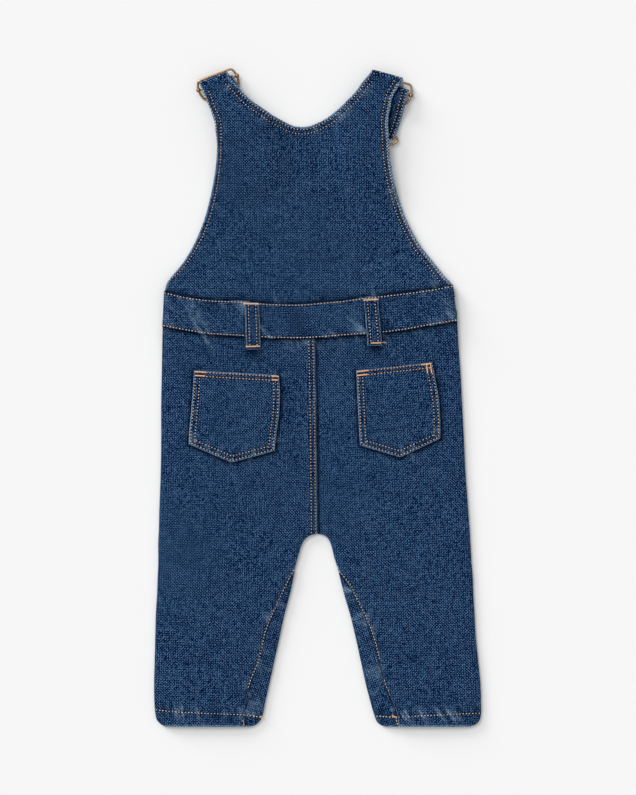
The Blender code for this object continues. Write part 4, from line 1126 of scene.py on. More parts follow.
def strap_stitches(surface, armhole, late):
    """Centres, ways and up directions of a strap's stitches, on both faces of the cloth.

    A row is the surface at one offset across; the outer row of the neck side starts late.
    """
    points, normal, offset = surface
    parts = []
    for row in STRAP_ROWS:
        place = -armhole * row
        column = np.clip(np.searchsorted(offset, place) - 1, 0, len(offset) - 2)
        t = (place - offset[column]) / (offset[column + 1] - offset[column])
        line = points[:, column] * (1 - t) + points[:, column + 1] * t
        up = normal[:, column] * (1 - t) + normal[:, column + 1] * t
        length = np.concatenate([[0.0], np.linalg.norm(np.diff(line, axis=0), axis=1).cumsum()])
        start = late if row == STRAP_ROWS[-1] else STRAP_START
        along = np.arange(start, length[-1] - 1.5, STITCH_PITCH)
        centre, ahead, rise = (np.column_stack([np.interp(along + shift, length, value[:, k])
                                                for k in range(3)])
                               for shift, value in ((0.0, line), (0.5, line), (0.0, up)))
        way = ahead - centre
        way /= np.linalg.norm(way, axis=1, keepdims=True)
        rise /= np.linalg.norm(rise, axis=1, keepdims=True)
        for face in (-1.0, 1.0):
            parts.append((centre + face * 0.5 * WALL * rise, way, face * rise))
    return tuple(np.vstack([part[k] for part in parts]) for k in range(3))


def tack_places(start, end, top):
    """A bar tack: close stitches square to the line from start to end.

    Their places are even, plus a sine of their number, which bunches them by the cluster.
    """
    start, end = np.array(start), np.array(end)
    run = end - start
    count = int(np.hypot(*run) / TACK_STEP)
    number = np.arange(count) + 0.5
    share = (number + 0.55 * np.sin(2.0 * math.pi * number / CLUSTER)) / count
    place = start + share[:, None] * run
    across = np.array([-run[1], run[0]]) / np.hypot(*run)
    x, y = place.T
    up = np.tile([0.0, 0.0, 1.0], (count, 1))
    way = np.tile([across[0], across[1], 0.0], (count, 1))
    return np.column_stack([x, y, top(x, y) + 0.25]), way, up


def sew_tacks(name, bars, material, seed=5):
    """Bar tacks as one piece; each bar is its start, its end and its face."""
    parts = [tack_places(start, end, top) for start, end, top in bars]
    centres, ways, ups = (np.vstack([part[k] for part in parts]) for k in range(3))
    return stitches(name, centres, ways, ups, TACK_WIDTH, TACK_THREAD, material, seed, lift=0.9)


# ---------------------------------------------------------------- fittings
def settle(points, fold, along, across, height, lean):
    """Turn points made with +y up the strap by the lean and the fold's turn, and move them."""
    x0, y0 = fold_place(fold, along, across)
    x, y, z = points[..., 0], points[..., 1], points[..., 2]
    y, z = y * math.cos(lean) - z * math.sin(lean), y * math.sin(lean) + z * math.cos(lean)
    c, s = math.cos(fold["turn"]), math.sin(fold["turn"])
    return np.stack([x0 + x * c - y * s, y0 + x * s + y * c, height + z], axis=-1)


def tube(path, radius, closed, sides=14):
    """Round wire on a path in its own flat plane: vertices, quads and end caps.

    A ring is the path's point plus the radius times the cosine of the angle along the path's
    in-plane normal and the sine along the plane's own normal.
    """
    if closed:
        way = np.roll(path, -1, axis=0) - np.roll(path, 1, axis=0)
    else:
        way = np.gradient(path, axis=0)
    way = way / np.linalg.norm(way, axis=1, keepdims=True)
    normal = np.column_stack([way[:, 1], -way[:, 0], 0.0 * way[:, 0]])
    angle = np.arange(sides) * 2 * math.pi / sides
    ring = (normal[:, None, :] * np.cos(angle)[None, :, None]
            + np.array([0.0, 0.0, 1.0]) * np.sin(angle)[None, :, None])
    size = np.broadcast_to(radius, (len(path),))
    points = path[:, None, :] + ring * size[:, None, None]
    index = np.arange(points.shape[0] * sides).reshape(-1, sides)
    if closed:
        index = np.vstack([index, index[:1]])
    around = np.roll(index, -1, axis=1)
    quads = np.stack([index[:-1], index[1:], around[1:], around[:-1]], axis=-1).reshape(-1, 4)
    faces = quads.tolist()
    if not closed:
        faces += [index[0].tolist(), index[-1][::-1].tolist()]
    return points.reshape(-1, 3), faces


def joined(name, shapes, material, node):
    """One metal piece from several closed shapes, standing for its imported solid."""
    vertices, faces, first = [], [], 0
    for points, polygons in shapes:
        vertices.append(points)
        faces += [[first + k for k in polygon] for polygon in polygons]
        first += len(points)
    mesh = bpy.data.meshes.new(name)
    mesh.from_pydata((np.vstack(vertices) * MM).tolist(), [], faces)
    mesh.shade_smooth()
    normals = np.zeros(3 * len(mesh.vertices), np.float32)
    mesh.vertex_normals.foreach_get("vector", normals)
    # Painted shade: the wire darkens towards near black on its flanks, most on the side that faces
    # away from the lamps.
    lee = 0.5 + 0.35 * (normals[0::3] - normals[1::3])
    flank = np.clip((1.0 - np.abs(normals[2::3])) * (0.4 + 1.1 * lee) / 0.34, 0.0, 1.0) ** 0.8
    mesh.attributes.new("lee_shade", "FLOAT", "POINT").data.foreach_set("value", flank)
    mesh.materials.append(material)
    piece = bpy.data.objects.new(name, mesh)
    bpy.context.scene.collection.objects.link(piece)
    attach(piece, "root")
    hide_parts(node)
    return piece


def slider_path():
    """Centre line of the slider's frame: straight bars, quarter-circle corners, bowed sides."""
    quarter = np.radians(np.arange(0, 91, 15))
    middle = SLIDER_LENGTH / 2
    reach, rise = SLIDER_HALF - SLIDER_CORNER, middle - SLIDER_CORNER
    corner = SLIDER_CORNER * np.column_stack([np.cos(quarter), np.sin(quarter)])
    upper = corner + (reach, rise)
    side = np.column_stack([np.full(9, SLIDER_HALF), np.linspace(-rise, rise, 11)[1:-1]])
    lower = (corner * (1, -1) + (reach, -rise))[::-1]
    right = np.vstack([lower, side, upper])
    bow = SLIDER_BOW * (1.0 - (right[:, 1] / middle) ** 2)
    right[:, 0] += bow
    outline = np.vstack([right, (right * (-1, 1))[::-1]])
    return np.column_stack([outline[:, 0], outline[:, 1] - middle, 0.0 * outline[:, 0]])


def make_slider(side, fold, fittings, material):
    """Slider: the bowed frame, its middle bar and the bar's rolled ends round the frame."""
    drop = fittings["middle_bar"]
    bow = SLIDER_BOW * (1.0 - (2.0 * drop / SLIDER_LENGTH - 1.0) ** 2)
    reach = SLIDER_HALF + bow
    bar = np.column_stack([np.linspace(-reach, reach, 12), np.full(12, -drop), np.zeros(12)])
    shapes = [tube(slider_path(), WIRE, True), tube(bar, WIRE * 0.98, False)]
    for end in (-1.0, 1.0):
        share = np.array([-0.5, -0.46, -0.36, 0.0, 0.36, 0.46, 0.5])
        size = KNUCKLE_RADIUS * np.array([0.55, 0.85, 1.0, 1.0, 1.0, 0.85, 0.55])
        path = np.column_stack([np.full(7, end * reach), share * KNUCKLE_LENGTH - drop,
                                np.zeros(7)])
        shapes.append(tube(path, size, False))
    placed = [(settle(points, fold, fittings["slider_along"], fittings["slider_across"],
                      fittings["slider_height"], fittings["slider_lean"]), faces)
              for points, faces in shapes]
    joined("slider_wire_" + side, placed, material, "slider_" + side)


def clip_path():
    """Centre line of the clip: a wide loop for the strap that narrows round the shank."""
    shank = SHANK_RADIUS + GAP + WIRE
    right = [(0.0, 0.0), (CLIP_HALF / 2, 0.0), (CLIP_HALF - 1.0, 0.0), (CLIP_HALF + 0.6, -0.7),
             (CLIP_HALF + 1.4, -2.4), (CLIP_HALF + 0.8, -4.6), (CLIP_HALF - 1.6, -6.6),
             (8.0, -8.2), (5.4, -10.4), (4.4, -14.0), (3.9, -18.0)]
    lower = np.radians(-18.0 * np.arange(6))
    right = np.vstack([right, np.column_stack([shank * np.cos(lower),
                                               -CLIP_DROP + shank * np.sin(lower)])])
    curve = spline(right, np.linspace(0.0, len(right) - 1.0, 64))
    outline = np.vstack([curve, (curve[1:-1] * (-1, 1))[::-1]])
    return np.column_stack([outline, 0.0 * outline[:, 0]])


def make_clip(side, fold, fittings, material):
    """Clip of bent wire, from the strap's lower fold to the button's shank."""
    points, faces = tube(clip_path(), WIRE, True)
    placed = settle(points, fold, fittings["clip_along"], fittings["clip_across"], CLIP_HEIGHT,
                    0.0)
    joined("clip_wire_" + side, [(placed, faces)], material, "clip_" + side)


def make_button(side, fold, fittings, material):
    """Bib button turned from a profile: a dished cap with a rolled rim, and the shank above."""
    top = CLIP_RISE - GAP
    profile = np.array([
        (0.02, 0.42), (1.6, 0.44), (3.2, 0.40), (4.6, 0.30), (5.3, 0.12), (5.9, 0.0), (6.6, 0.05),
        (7.1, 0.35), (BUTTON_RADIUS, 0.75), (7.0, 1.12), (6.4, BUTTON_CAP), (3.2, BUTTON_CAP),
        (2.6, 1.45), (SHANK_RADIUS, 1.8), (SHANK_RADIUS, top - 0.2), (SHANK_RADIUS - 0.2, top),
        (0.02, top),
    ])
    angle = np.arange(48) * math.pi / 24
    points = np.stack([profile[:, :1] * np.cos(angle), profile[:, :1] * np.sin(angle),
                       profile[:, 1:] + 0.0 * angle], axis=-1)
    index = np.arange(points.shape[0] * 48).reshape(-1, 48)
    around = np.roll(index, -1, axis=1)
    quads = np.stack([index[:-1], index[1:], around[1:], around[:-1]], axis=-1)
    faces = quads.reshape(-1, 4)[:, ::-1].tolist()
    faces += [index[0][::-1].tolist(), index[-1].tolist()]
    placed = settle(points.reshape(-1, 3), fold, fittings["clip_along"] + CLIP_DROP,
                    fittings["clip_across"], 0.0, 0.0)
    joined("bib_button_cap_" + side, [(placed, faces)], material, "bib_button_" + side)


# ---------------------------------------------------------------- materials
def put(tree, kind, settings=None, **inputs):
    """Add a node; settings are its own properties, and inputs are values or sockets by name."""
    node = tree.nodes.new(kind)
    for key, value in (settings or {}).items():
        setattr(node, key, value)
    for key, value in inputs.items():
        wire_in(tree, node.inputs[key.replace("_", " ")], value)
    return node


def wire_in(tree, socket, value):
    """Link a socket to the input, or set the input's own value."""
    if isinstance(value, bpy.types.NodeSocket):
        tree.links.new(value, socket)
    else:
        socket.default_value = value


def maths(tree, operation, *values):
    """A Math node of the values."""
    node = put(tree, "ShaderNodeMath", {"operation": operation})
    for socket, value in zip(node.inputs, values):
        wire_in(tree, socket, value)
    return node.outputs[0]


def blend(tree, factor, one, other, how="MIX"):
    """A colour mix of one and other by the factor."""
    node = put(tree, "ShaderNodeMix", {"data_type": "RGBA", "blend_type": how})
    for socket, value in zip((node.inputs[0], node.inputs[6], node.inputs[7]),
                             (factor, one, other)):
        wire_in(tree, socket, value)
    return node.outputs[2]


def ranged(tree, value, low, high, to_low=0.0, to_high=1.0, smooth=False):
    """A value mapped from one range to another, kept inside it."""
    node = put(tree, "ShaderNodeMapRange",
               {"interpolation_type": "SMOOTHSTEP" if smooth else "LINEAR"})
    for socket, number in zip(node.inputs, (value, low, high, to_low, to_high)):
        wire_in(tree, socket, number)
    return node.outputs[0]


def group(name, inputs, outputs):
    """A shader node group with named inputs (name, kind, value) and outputs (name, kind)."""
    tree = bpy.data.node_groups.new(name, "ShaderNodeTree")
    for label, kind, value in inputs:
        socket = tree.interface.new_socket(label, in_out="INPUT", socket_type="NodeSocket" + kind)
        if value is not None:
            socket.default_value = value
    for label, kind in outputs:
        tree.interface.new_socket(label, in_out="OUTPUT", socket_type="NodeSocket" + kind)
    return tree, tree.nodes.new("NodeGroupInput").outputs, tree.nodes.new("NodeGroupOutput").inputs


def tufts(tree, one, other, size, share):
    """Rows of fibre tufts that lie light and dark by turns, in both directions.

    Each place has two row numbers, one / size and other / size made whole.  The value is a
    random size from 0.1 to 1, plus for an even row and minus for an odd one, summed over both
    directions, the first of them times the share.
    """
    rows = [maths(tree, "FLOOR", maths(tree, "DIVIDE", value, size)) for value in (one, other)]
    chance = put(tree, "ShaderNodeTexWhiteNoise", {"noise_dimensions": "2D"},
                 Vector=put(tree, "ShaderNodeCombineXYZ", X=rows[0], Y=rows[1]).outputs[0])
    apart = put(tree, "ShaderNodeSeparateXYZ", Vector=chance.outputs["Color"])
    values = []
    for row, random, weight in zip(rows, apart.outputs, (share, 1.0)):
        turn = maths(tree, "SUBTRACT", 1.0, maths(tree, "MULTIPLY", maths(
            tree, "FLOORED_MODULO", row, 2.0), 2.0))
        amount = ranged(tree, random, 0.0, 1.0, 0.1 * weight, weight)
        values.append(maths(tree, "MULTIPLY", turn, amount))
    return maths(tree, "ADD", *values)


def weave_group():
    """Three-and-one twill: yarn i of a yarn's width, pick j of a pick's height, both whole numbers.

    The place in the repeat is the remainder of (i + v) over 4, v being the height in picks.  The
    pale weft shows in its first quarter and a dark warp float covers the rest.  Tone is 0.5 plus
    random parts for each float, each fibre and each yarn, and tufts along the slant and along the
    yarns; Height is a parabola across the yarn, sunk at the crossings.
    """
    tree, given, out = group("denim_twill", (
        ("Place", "Vector", None), ("Yarn", "Float", 0.6), ("Float Strength", "Float", 0.5),
        ("Fibre Strength", "Float", 0.5), ("Weft Strength", "Float", 0.3),
        ("Slant Strength", "Float", 0.3), ("Cross Strength", "Float", 0.3),
    ), (("Tone", "Float"), ("Height", "Float")))
    bend = put(tree, "ShaderNodeTexNoise", {"noise_dimensions": "2D"}, Vector=given["Place"],
               Scale=0.11, Detail=2.0)
    shift = put(tree, "ShaderNodeVectorMath", {"operation": "MULTIPLY_ADD"})
    tree.links.new(bend.outputs["Color"], shift.inputs[0])
    shift.inputs[1].default_value = (1.1, 1.1, 0.0)
    tree.links.new(given["Place"], shift.inputs[2])
    apart = put(tree, "ShaderNodeSeparateXYZ", Vector=shift.outputs[0])
    u = maths(tree, "DIVIDE", apart.outputs[0], given["Yarn"])
    v = maths(tree, "DIVIDE", apart.outputs[1], given["Yarn"])
    i = maths(tree, "FLOOR", u)
    repeat = maths(tree, "DIVIDE", maths(tree, "ADD", i, v), 4.0)
    k = maths(tree, "FLOOR", repeat)
    weft = maths(tree, "LESS_THAN", maths(tree, "SUBTRACT", repeat, k), 0.25)
    cell = put(tree, "ShaderNodeTexWhiteNoise", {"noise_dimensions": "2D"},
               Vector=put(tree, "ShaderNodeCombineXYZ", X=i, Y=k).outputs[0])
    fine = [maths(tree, "FLOOR", maths(tree, "MULTIPLY", value, 0.64)) for value in (u, v)]
    fibre = put(tree, "ShaderNodeTexWhiteNoise", {"noise_dimensions": "2D"},
                Vector=put(tree, "ShaderNodeCombineXYZ", X=fine[0], Y=fine[1]).outputs[0])
    slub = put(tree, "ShaderNodeTexNoise", {"noise_dimensions": "2D"}, Scale=1.0, Detail=1.0,
               Vector=put(tree, "ShaderNodeCombineXYZ", X=maths(tree, "MULTIPLY", i, 0.71),
                          Y=maths(tree, "MULTIPLY", v, 0.045)).outputs[0])
    tone = maths(tree, "MULTIPLY", maths(tree, "SUBTRACT", cell.outputs[0], 0.5),
                 given["Float Strength"])
    tone = maths(tree, "ADD", tone, maths(tree, "MULTIPLY", maths(
        tree, "SUBTRACT", fibre.outputs[0], 0.5), given["Fibre Strength"]))
    patch = put(tree, "ShaderNodeTexNoise", {"noise_dimensions": "2D"}, Vector=given["Place"],
                Scale=0.12, Detail=1.0)
    showing = maths(tree, "MULTIPLY", given["Weft Strength"],
                    ranged(tree, patch.outputs[0], 0.35, 0.6, 0.75, 1.10))
    tone = maths(tree, "ADD", tone, maths(tree, "MULTIPLY", maths(
        tree, "SUBTRACT", weft, 0.25), showing))
    x, y = apart.outputs[0], apart.outputs[1]
    slanting = tufts(tree, maths(tree, "ADD", x, y), maths(tree, "SUBTRACT", x, y), 1.22, 0.7)
    crossing = tufts(tree, x, y, 0.95, 1.0)
    tone = maths(tree, "ADD", tone, maths(tree, "MULTIPLY", slanting, given["Slant Strength"]))
    tone = maths(tree, "ADD", tone, maths(tree, "MULTIPLY", crossing, given["Cross Strength"]))
    tone = maths(tree, "ADD", tone, ranged(tree, slub.outputs[0], 0.3, 0.7, -0.03, 0.03))
    tree.links.new(maths(tree, "ADD", tone, 0.5), out["Tone"])
    across = maths(tree, "SUBTRACT", maths(tree, "MULTIPLY", maths(
        tree, "FRACT", u), 2.0), 1.0)
    round_yarn = maths(tree, "SUBTRACT", 1.0, maths(tree, "MULTIPLY", across, across))
    height = maths(tree, "MULTIPLY", round_yarn, maths(tree, "SUBTRACT", 1.0, maths(
        tree, "MULTIPLY", weft, 0.6)))
    tree.links.new(height, out["Height"])
    return tree


def wear_and_shade_group():
    """Where the dye has gone, and painted shade: worn rims and high puckers, broken by noise and
    slanting marks, and darker grooves and troughs.

    Faded is the larger of two masks: one falls smoothly from 1 at the edge to 0 at a share of 1
    from it, times noise and a slanting sine along the edge; the other rises with the ridge's
    height, times noise drawn out along one slant over the whole garment.  Shade is painted shade:
    the larger of the painted_shade mask and the depth of the troughs.
    """
    tree, given, out = group("wear_and_painted_shade", (
        ("Place", "Vector", None), ("Lie", "Vector", None), ("Rim", "Float", 9.0),
        ("Along", "Float", 0.0), ("Ridge", "Float", 0.0), ("Groove", "Float", 0.0),
    ), (("Faded", "Float"), ("Shade", "Float"), ("Wash", "Float")))
    nick = put(tree, "ShaderNodeTexNoise", {"noise_dimensions": "2D"}, Vector=given["Place"],
               Scale=0.7, Detail=2.0)
    broad = put(tree, "ShaderNodeTexNoise", {"noise_dimensions": "2D"}, Vector=given["Place"],
                Scale=0.03, Detail=3.0)
    slant = maths(tree, "ADD", maths(tree, "MULTIPLY", given["Along"], 0.40),
                  maths(tree, "MULTIPLY", given["Rim"], 1.2))
    rope = maths(tree, "SINE", maths(tree, "MULTIPLY", slant, 2 * math.pi))
    rim = ranged(tree, given["Rim"], 1.0, 0.25, smooth=True)
    rim = maths(tree, "MULTIPLY", rim, ranged(tree, nick.outputs[0], 0.34, 0.60, 0.45, 1.0))
    rim = maths(tree, "MULTIPLY", rim, ranged(tree, rope, -0.6, 0.8, 0.2, 1.0))
    worn = maths(tree, "ADD", given["Ridge"], maths(tree, "MULTIPLY", maths(
        tree, "SUBTRACT", nick.outputs[0], 0.5), 0.35))
    lie = put(tree, "ShaderNodeSeparateXYZ", Vector=given["Lie"]).outputs
    over = maths(tree, "MULTIPLY", maths(tree, "ADD", lie[0], lie[1]), 560.0)
    down = maths(tree, "MULTIPLY", maths(tree, "SUBTRACT", lie[0], lie[1]), 110.0)
    streak = put(tree, "ShaderNodeTexNoise", {"noise_dimensions": "2D"}, Scale=1.0, Detail=1.0,
                 Vector=put(tree, "ShaderNodeCombineXYZ", X=over, Y=down).outputs[0])
    ridge = maths(tree, "MULTIPLY", ranged(tree, worn, 0.12, 0.80, 0.0, 0.60),
                  ranged(tree, streak.outputs[0], 0.40, 0.62, 0.25, 1.15))
    faded = put(tree, "ShaderNodeMath", {"operation": "MAXIMUM", "use_clamp": True})
    tree.links.new(rim, faded.inputs[0])
    tree.links.new(ridge, faded.inputs[1])
    # Painted shade: darker in the troughs of puckers and creases, and along the painted_shade lines.
    trough = ranged(tree, given["Ridge"], -0.10, -0.60, 0.0, 0.6)
    kept = put(tree, "ShaderNodeMath", {"operation": "MAXIMUM", "use_clamp": True})
    tree.links.new(given["Groove"], kept.inputs[0])
    tree.links.new(trough, kept.inputs[1])
    tree.links.new(faded.outputs[0], out["Faded"])
    tree.links.new(kept.outputs[0], out["Shade"])
    tree.links.new(broad.outputs[0], out["Wash"])
    return tree


def named(tree, name):
    """A float attribute of the piece."""
    return put(tree, "ShaderNodeAttribute", {"attribute_name": name}).outputs["Fac"]


def linear(red, green, blue):
    """A colour mixed on screen from 0 to 255, as the shader's linear red, green, blue, alpha."""
    shares = np.array([red, green, blue]) / 255.0
    low = shares / 12.92
    high = ((shares + 0.055) / 1.055) ** 2.4
    return (*(float(value) for value in np.where(shares <= 0.04045, low, high)), 1.0)


INDIGO = ((0.0, (0, 8, 42)), (0.3, (0, 17, 52)), (0.55, (5, 35, 71)), (0.8, (33, 66, 102)),
          (1.0, (78, 110, 146)))


def denim_material(weave, wear):
    """Washed indigo denim: twill tones, paler on worn rims and ridges, with painted shade in the
    seams' grooves, beside raised edges and in troughs.
    """
    material = bpy.data.materials.new("washed_indigo_denim")
    material.use_nodes = True
    tree = material.node_tree
    shader = tree.nodes["Principled BSDF"]
    uv = put(tree, "ShaderNodeUVMap", {"uv_map": "weave"})
    place = put(tree, "ShaderNodeVectorMath", {"operation": "SCALE"})
    tree.links.new(uv.outputs[0], place.inputs[0])
    place.inputs["Scale"].default_value = 100.0
    twill = put(tree, "ShaderNodeGroup", {"node_tree": weave}, Place=place.outputs[0])
    twill.inputs["Yarn"].default_value = 0.6
    twill.inputs["Float Strength"].default_value = 0.20
    twill.inputs["Fibre Strength"].default_value = 0.50
    twill.inputs["Weft Strength"].default_value = 0.42
    twill.inputs["Slant Strength"].default_value = 0.47
    twill.inputs["Cross Strength"].default_value = 0.36
    lie = put(tree, "ShaderNodeTexCoord").outputs["Object"]
    worn = put(tree, "ShaderNodeGroup", {"node_tree": wear}, Place=place.outputs[0], Lie=lie,
               Rim=named(tree, "rim"), Along=named(tree, "along"), Ridge=named(tree, "ridge"),
               Groove=named(tree, "painted_shade"))
    wash = ranged(tree, worn.outputs["Wash"], 0.3, 0.7, -0.02, 0.02)
    tone = maths(tree, "ADD", twill.outputs["Tone"], wash)
    ramp = put(tree, "ShaderNodeValToRGB")
    while len(ramp.color_ramp.elements) < len(INDIGO):
        ramp.color_ramp.elements.new(0.5)
    for element, (position, colour) in zip(ramp.color_ramp.elements, INDIGO):
        element.position = position
        element.color = linear(*colour)
    tree.links.new(tone, ramp.inputs[0])
    # Painted shade: the Shade output darkens the twill towards deep indigo in grooves, in troughs and
    # beside raised edges.
    colour = blend(tree, maths(tree, "MULTIPLY", worn.outputs["Shade"], 0.95), ramp.outputs[0],
                   linear(4, 16, 38))
    share = ranged(tree, twill.outputs["Tone"], 0.1, 0.9)
    pale = blend(tree, share, linear(92, 128, 166), linear(176, 202, 224))
    colour = blend(tree, maths(tree, "MULTIPLY", worn.outputs["Faded"], 0.9), colour, pale)
    inner = blend(tree, share, linear(84, 104, 132), linear(166, 178, 190))
    colour = blend(tree, named(tree, "wrong_side"), colour, inner)
    tree.links.new(colour, shader.inputs["Base Color"])
    rough = ranged(tree, worn.outputs["Faded"], 0.0, 1.0, 0.88, 0.97)
    tree.links.new(rough, shader.inputs["Roughness"])
    shader.inputs["Specular IOR Level"].default_value = 0.0
    bump = put(tree, "ShaderNodeBump", Strength=0.35, Distance=0.0002,
               Height=twill.outputs["Height"])
    tree.links.new(bump.outputs[0], shader.inputs["Normal"])
    return material


def thread_material(name, pale, deep):
    """Twisted thread: slanting plies with a painted highlight on their crowns and painted shade
    between them, a random tone that drifts from stitch to stitch, slightly glossy.
    """
    material = bpy.data.materials.new(name)
    material.use_nodes = True
    tree = material.node_tree
    shader = tree.nodes["Principled BSDF"]
    uv = put(tree, "ShaderNodeUVMap", {"uv_map": "ply"})
    apart = put(tree, "ShaderNodeSeparateXYZ", Vector=uv.outputs[0])
    slant = maths(tree, "ADD", maths(tree, "MULTIPLY", apart.outputs[0], 1.6), apart.outputs[1])
    ply = maths(tree, "SINE", maths(tree, "MULTIPLY", slant, 2 * math.pi))
    each = put(tree, "ShaderNodeTexNoise", {"noise_dimensions": "1D"},
               W=maths(tree, "MULTIPLY", apart.outputs[0], 0.14), Scale=1.0, Detail=0.0)
    # Painted highlight and shade: paler on each ply's crown and deeper in the twist between plies,
    # plus a random tone for each stitch.
    share = maths(tree, "ADD", maths(tree, "MULTIPLY", ply, 0.25),
                  ranged(tree, each.outputs[0], 0.3, 0.7, 0.2, 0.8))
    colour = blend(tree, share, (*deep, 1.0), (*pale, 1.0))
    tree.links.new(colour, shader.inputs["Base Color"])
    shader.inputs["Roughness"].default_value = 0.55
    shader.inputs["Specular IOR Level"].default_value = 0.4
    bump = put(tree, "ShaderNodeBump", Strength=0.5, Distance=0.0001, Height=ply)
    tree.links.new(bump.outputs[0], shader.inputs["Normal"])
    return material


def copper_material():
    """Copper-plated wire: a warm metal with faint drawn lines, duller in patches, with painted shade
    on its flanks.
    """
    material = bpy.data.materials.new("copper_plated_wire")
    material.use_nodes = True
    tree = material.node_tree
    shader = tree.nodes["Principled BSDF"]
    place = put(tree, "ShaderNodeTexCoord").outputs["Object"]
    dull = put(tree, "ShaderNodeTexNoise", Vector=place, Scale=420.0, Detail=3.0)
    fine = put(tree, "ShaderNodeTexNoise", Vector=place, Scale=2600.0, Detail=2.0)
    tarnish = ranged(tree, dull.outputs[0], 0.42, 0.68)
    colour = blend(tree, tarnish, (0.78, 0.45, 0.19, 1.0), (0.55, 0.29, 0.11, 1.0))
    # Painted shade on the wire's flanks, from the lee_shade mask.
    colour = blend(tree, named(tree, "lee_shade"), colour, (0.045, 0.016, 0.006, 1.0))
    tree.links.new(colour, shader.inputs["Base Color"])
    rough = ranged(tree, dull.outputs[0], 0.35, 0.7, 0.22, 0.42)
    tree.links.new(rough, shader.inputs["Roughness"])
    shader.inputs["Metallic"].default_value = 1.0
    bump = put(tree, "ShaderNodeBump", Strength=0.15, Distance=0.0001, Height=fine.outputs[0])
    tree.links.new(bump.outputs[0], shader.inputs["Normal"])
    return material


# ---------------------------------------------------------------- camera, floor and light
VIEW_HEIGHT = 4.0
VIEW_LENGTH = 0.67575     # what the frame's long side covers on the floor


def set_stage():
    """Camera straight above, a pale floor, a broad soft key from the upper left and a dome."""
    camera = bpy.data.cameras.new("camera")
    camera.lens = camera.sensor_width * (VIEW_HEIGHT - 0.005) / VIEW_LENGTH
    camera.clip_end = 100.0
    eye = bpy.data.objects.new("camera", camera)
    eye.location = (0.0004, 0.0, VIEW_HEIGHT)
    bpy.context.scene.collection.objects.link(eye)
    bpy.context.scene.camera = eye

    mesh = bpy.data.meshes.new("floor")
    size = 8.0
    mesh.from_pydata([(-size, -size, 0), (size, -size, 0), (size, size, 0), (-size, size, 0)], [],
                     [(0, 1, 2, 3)])
    paper = bpy.data.materials.new("pale_floor")
    paper.use_nodes = True
    shader = paper.node_tree.nodes["Principled BSDF"]
    shader.inputs["Base Color"].default_value = (0.91, 0.91, 0.91, 1.0)
    shader.inputs["Roughness"].default_value = 0.9
    shader.inputs["Specular IOR Level"].default_value = 0.1
    mesh.materials.append(paper)
    floor = bpy.data.objects.new("floor", mesh)
    floor.location.z = -0.0002
    bpy.context.scene.collection.objects.link(floor)

    for name, height, disc, strength in (("low_key", 15.0, 22.0, 2.2), ("key", 48.0, 30.0, 1.0)):
        light = bpy.data.lights.new(name, "SUN")
        light.angle = math.radians(disc)
        light.energy = strength
        lamp = bpy.data.objects.new(name, light)
        rise = math.radians(height)
        spot = Vector((-math.cos(rise), math.cos(rise), math.sqrt(2.0) * math.sin(rise)))
        lamp.rotation_euler = spot.to_track_quat("Z", "Y").to_euler()
        bpy.context.scene.collection.objects.link(lamp)

    world = bpy.data.worlds.new("studio")
    world.use_nodes = True
    sky = world.node_tree.nodes["Background"]
    sky.inputs["Color"].default_value = (1.0, 1.0, 1.0, 1.0)
    sky.inputs["Strength"].default_value = 0.605
    bpy.context.scene.world = world
    bpy.context.scene.view_settings.view_transform = "Standard"


# ---------------------------------------------------------------- the whole garment
# Bar tacks.  columns: x, y of one end, x, y of the other, the face it is sewn on
TACKS = (
    (-62.9, 79.6, -50.0, 79.4, "left_loop"), (-60.9, 43.2, -49.4, 43.6, "left_loop"),
    (38.8, 82.6, 51.6, 83.2, "right_loop"), (45.2, 46.2, 54.0, 46.4, "right_loop"),
    (-104.4, 21.9, -95.0, 21.3, "left_pocket"), (-104.2, 18.7, -95.4, 18.2, "left_pocket"),
    (-39.2, 18.3, -33.2, 17.8, "left_pocket"), (-39.0, 15.2, -33.4, 14.7, "left_pocket"),
    (33.6, 21.9, 43.0, 22.9, "right_pocket"), (33.8, 18.7, 42.6, 19.6, "right_pocket"),
    (88.0, 27.8, 96.8, 28.7, "right_pocket"), (96.1, 28.0, 97.1, 20.6, "right_pocket"),
    (92.7, 28.6, 93.6, 20.8, "right_pocket"),
    (-48.6, -270.9, -46.6, -272.6, "leg"), (63.4, -270.2, 67.2, -272.4, "leg"),
)
# Short runs that end a seam: the two inseams' ends on the hems, and a loose tail by a loop
ENDS = (np.array([(-63.2, -274.0), (-62.9, -276.5), (-62.3, -279.2)]),
        np.array([(66.9, -273.4), (67.6, -276.0), (68.5, -279.0)]))
TAIL = np.array([(53.6, 46.4), (55.6, 46.6), (56.8, 47.1), (57.8, 46.4), (58.6, 46.3)])


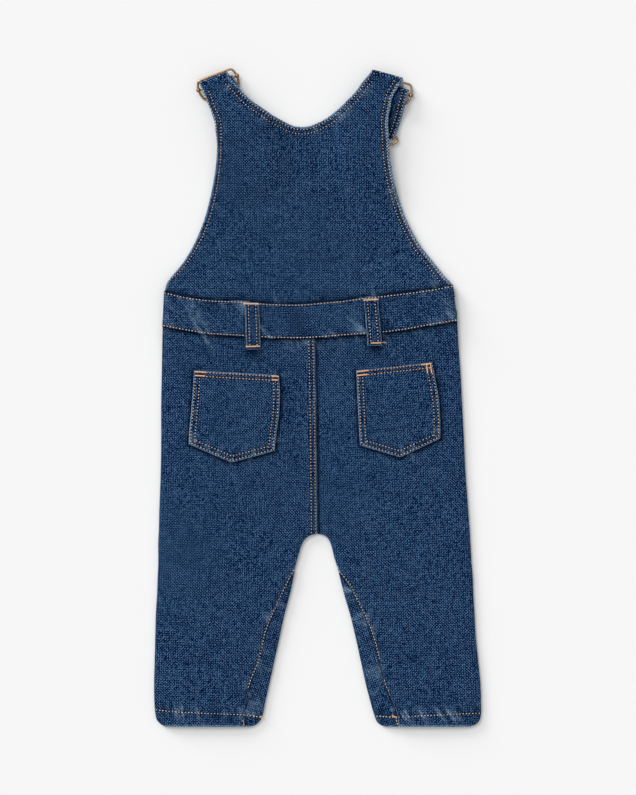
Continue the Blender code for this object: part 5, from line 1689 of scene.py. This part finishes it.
def sew_back(tan, amber):
    """Every row of stitches and bar tack that shows on the back."""
    sew("thread_neckline", NECK_ROWS, back_top, tan, 201)
    sew("thread_armhole_left", ARM_LEFT_ROWS, back_top, tan, 211)
    sew("thread_armhole_right", ARM_RIGHT_ROWS, back_top, tan, 221)
    sew("thread_waistband", BAND_ROWS, band_top, tan, 231, CLOSE_LENGTH)
    sew("thread_centre_seam", [line[4:] for line in CENTRE_ROWS], back_top, tan, 241)
    left, right = resample(INSEAM_ROW_LEFT, 3.0), resample(INSEAM_ROW_RIGHT, 3.0)
    sew("thread_inseams", [part_of(left, 0.0, 0.86), part_of(right, 0.0, 0.63),
                           part_of(right, 0.76, 0.85)], back_top, tan, 251, 0.95)
    sew("thread_hems", [resample(HEM_ROW_LEFT, 3.0), resample(HEM_ROW_RIGHT, 3.0)], back_top,
        tan, 261, CLOSE_LENGTH)
    for side, table, seed in (("left", LEFT_POCKET, 81), ("right", RIGHT_POCKET, 86)):
        top = pocket_top(table, seed)
        sew("thread_pocket_sides_" + side,
            [line for distance in POCKET_ROWS for line in pocket_row(table, distance)], top,
            tan, seed * 3)
        sew("thread_pocket_mouth_" + side, [mouth_row(table, distance) for distance in MOUTH_ROWS],
            top, amber, seed * 4, CLOSE_LENGTH)
    for side, table in (("left", LEFT_LOOP), ("right", RIGHT_LOOP)):
        sew("thread_loop_" + side, [side_row(table, -1), side_row(table, 1)], loop_top(table),
            tan, 271)
    sew("thread_seam_ends", ENDS, back_top, amber, 281, 1.9, 2.0)
    sew("thread_tail", [TAIL], back_top, amber, 291, 1.5, 0.9)
    tops = {"leg": back_top, "left_loop": loop_top(LEFT_LOOP), "right_loop": loop_top(RIGHT_LOOP),
            "left_pocket": pocket_top(LEFT_POCKET, 81), "right_pocket": pocket_top(RIGHT_POCKET, 86)}
    sew_tacks("bar_tacks", [((x0, y0), (x1, y1), tops[top]) for x0, y0, x1, y1, top in TACKS],
              amber)


def main():
    """Load the frame, then make the stage, the materials, the cloth, the fittings and the thread."""
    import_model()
    set_stage()
    weave, wear = weave_group(), wear_and_shade_group()
    denim = denim_material(weave, wear)
    tan = thread_material("tan_topstitch", (1.0, 0.84, 0.68), (0.72, 0.50, 0.35))
    amber = thread_material("amber_topstitch", (1.0, 0.62, 0.36), (0.66, 0.32, 0.15))
    copper = copper_material()

    make_front_band(denim)
    make_front_bib(denim)
    make_back_bib(denim)
    make_back_band(denim)
    sides = (
        ("left", LEFT_HIP, LEFT_LEG, LEFT_POCKET, LEFT_LOOP, LEFT_FOLD, LEFT_STRAP,
         LEFT_FITTINGS, LEFT_SHOULDER, INSEAM_ROW_LEFT, HEM_ROW_LEFT, 81),
        ("right", RIGHT_HIP, RIGHT_LEG, RIGHT_POCKET, RIGHT_LOOP, RIGHT_FOLD, RIGHT_STRAP,
         RIGHT_FITTINGS, RIGHT_SHOULDER, INSEAM_ROW_RIGHT, HEM_ROW_RIGHT, 86),
    )
    for side, hip, leg, pocket, loop, fold, strap, fittings, shoulder, row, hem_row, seed in sides:
        make_front_leg(side, hip, leg, denim)
        make_back_leg(side, hip, leg, row, hem_row, denim)
        make_strip(side, leg, denim)
        make_pocket(side, pocket, seed, denim)
        make_loop(side, loop, seed, denim)
        surface = make_strap(side, fold, strap, shoulder, denim)
        armhole, late = (-1.0, 12.0) if side == "left" else (1.0, 1.2)
        stitches("thread_strap_" + side, *strap_stitches(surface, armhole, late),
                 STITCH_LENGTH, THREAD, tan, seed)
        make_slider(side, fold, fittings, copper)
        make_clip(side, fold, fittings, copper)
        make_button(side, fold, fittings, copper)
    sew_back(tan, amber)


main()
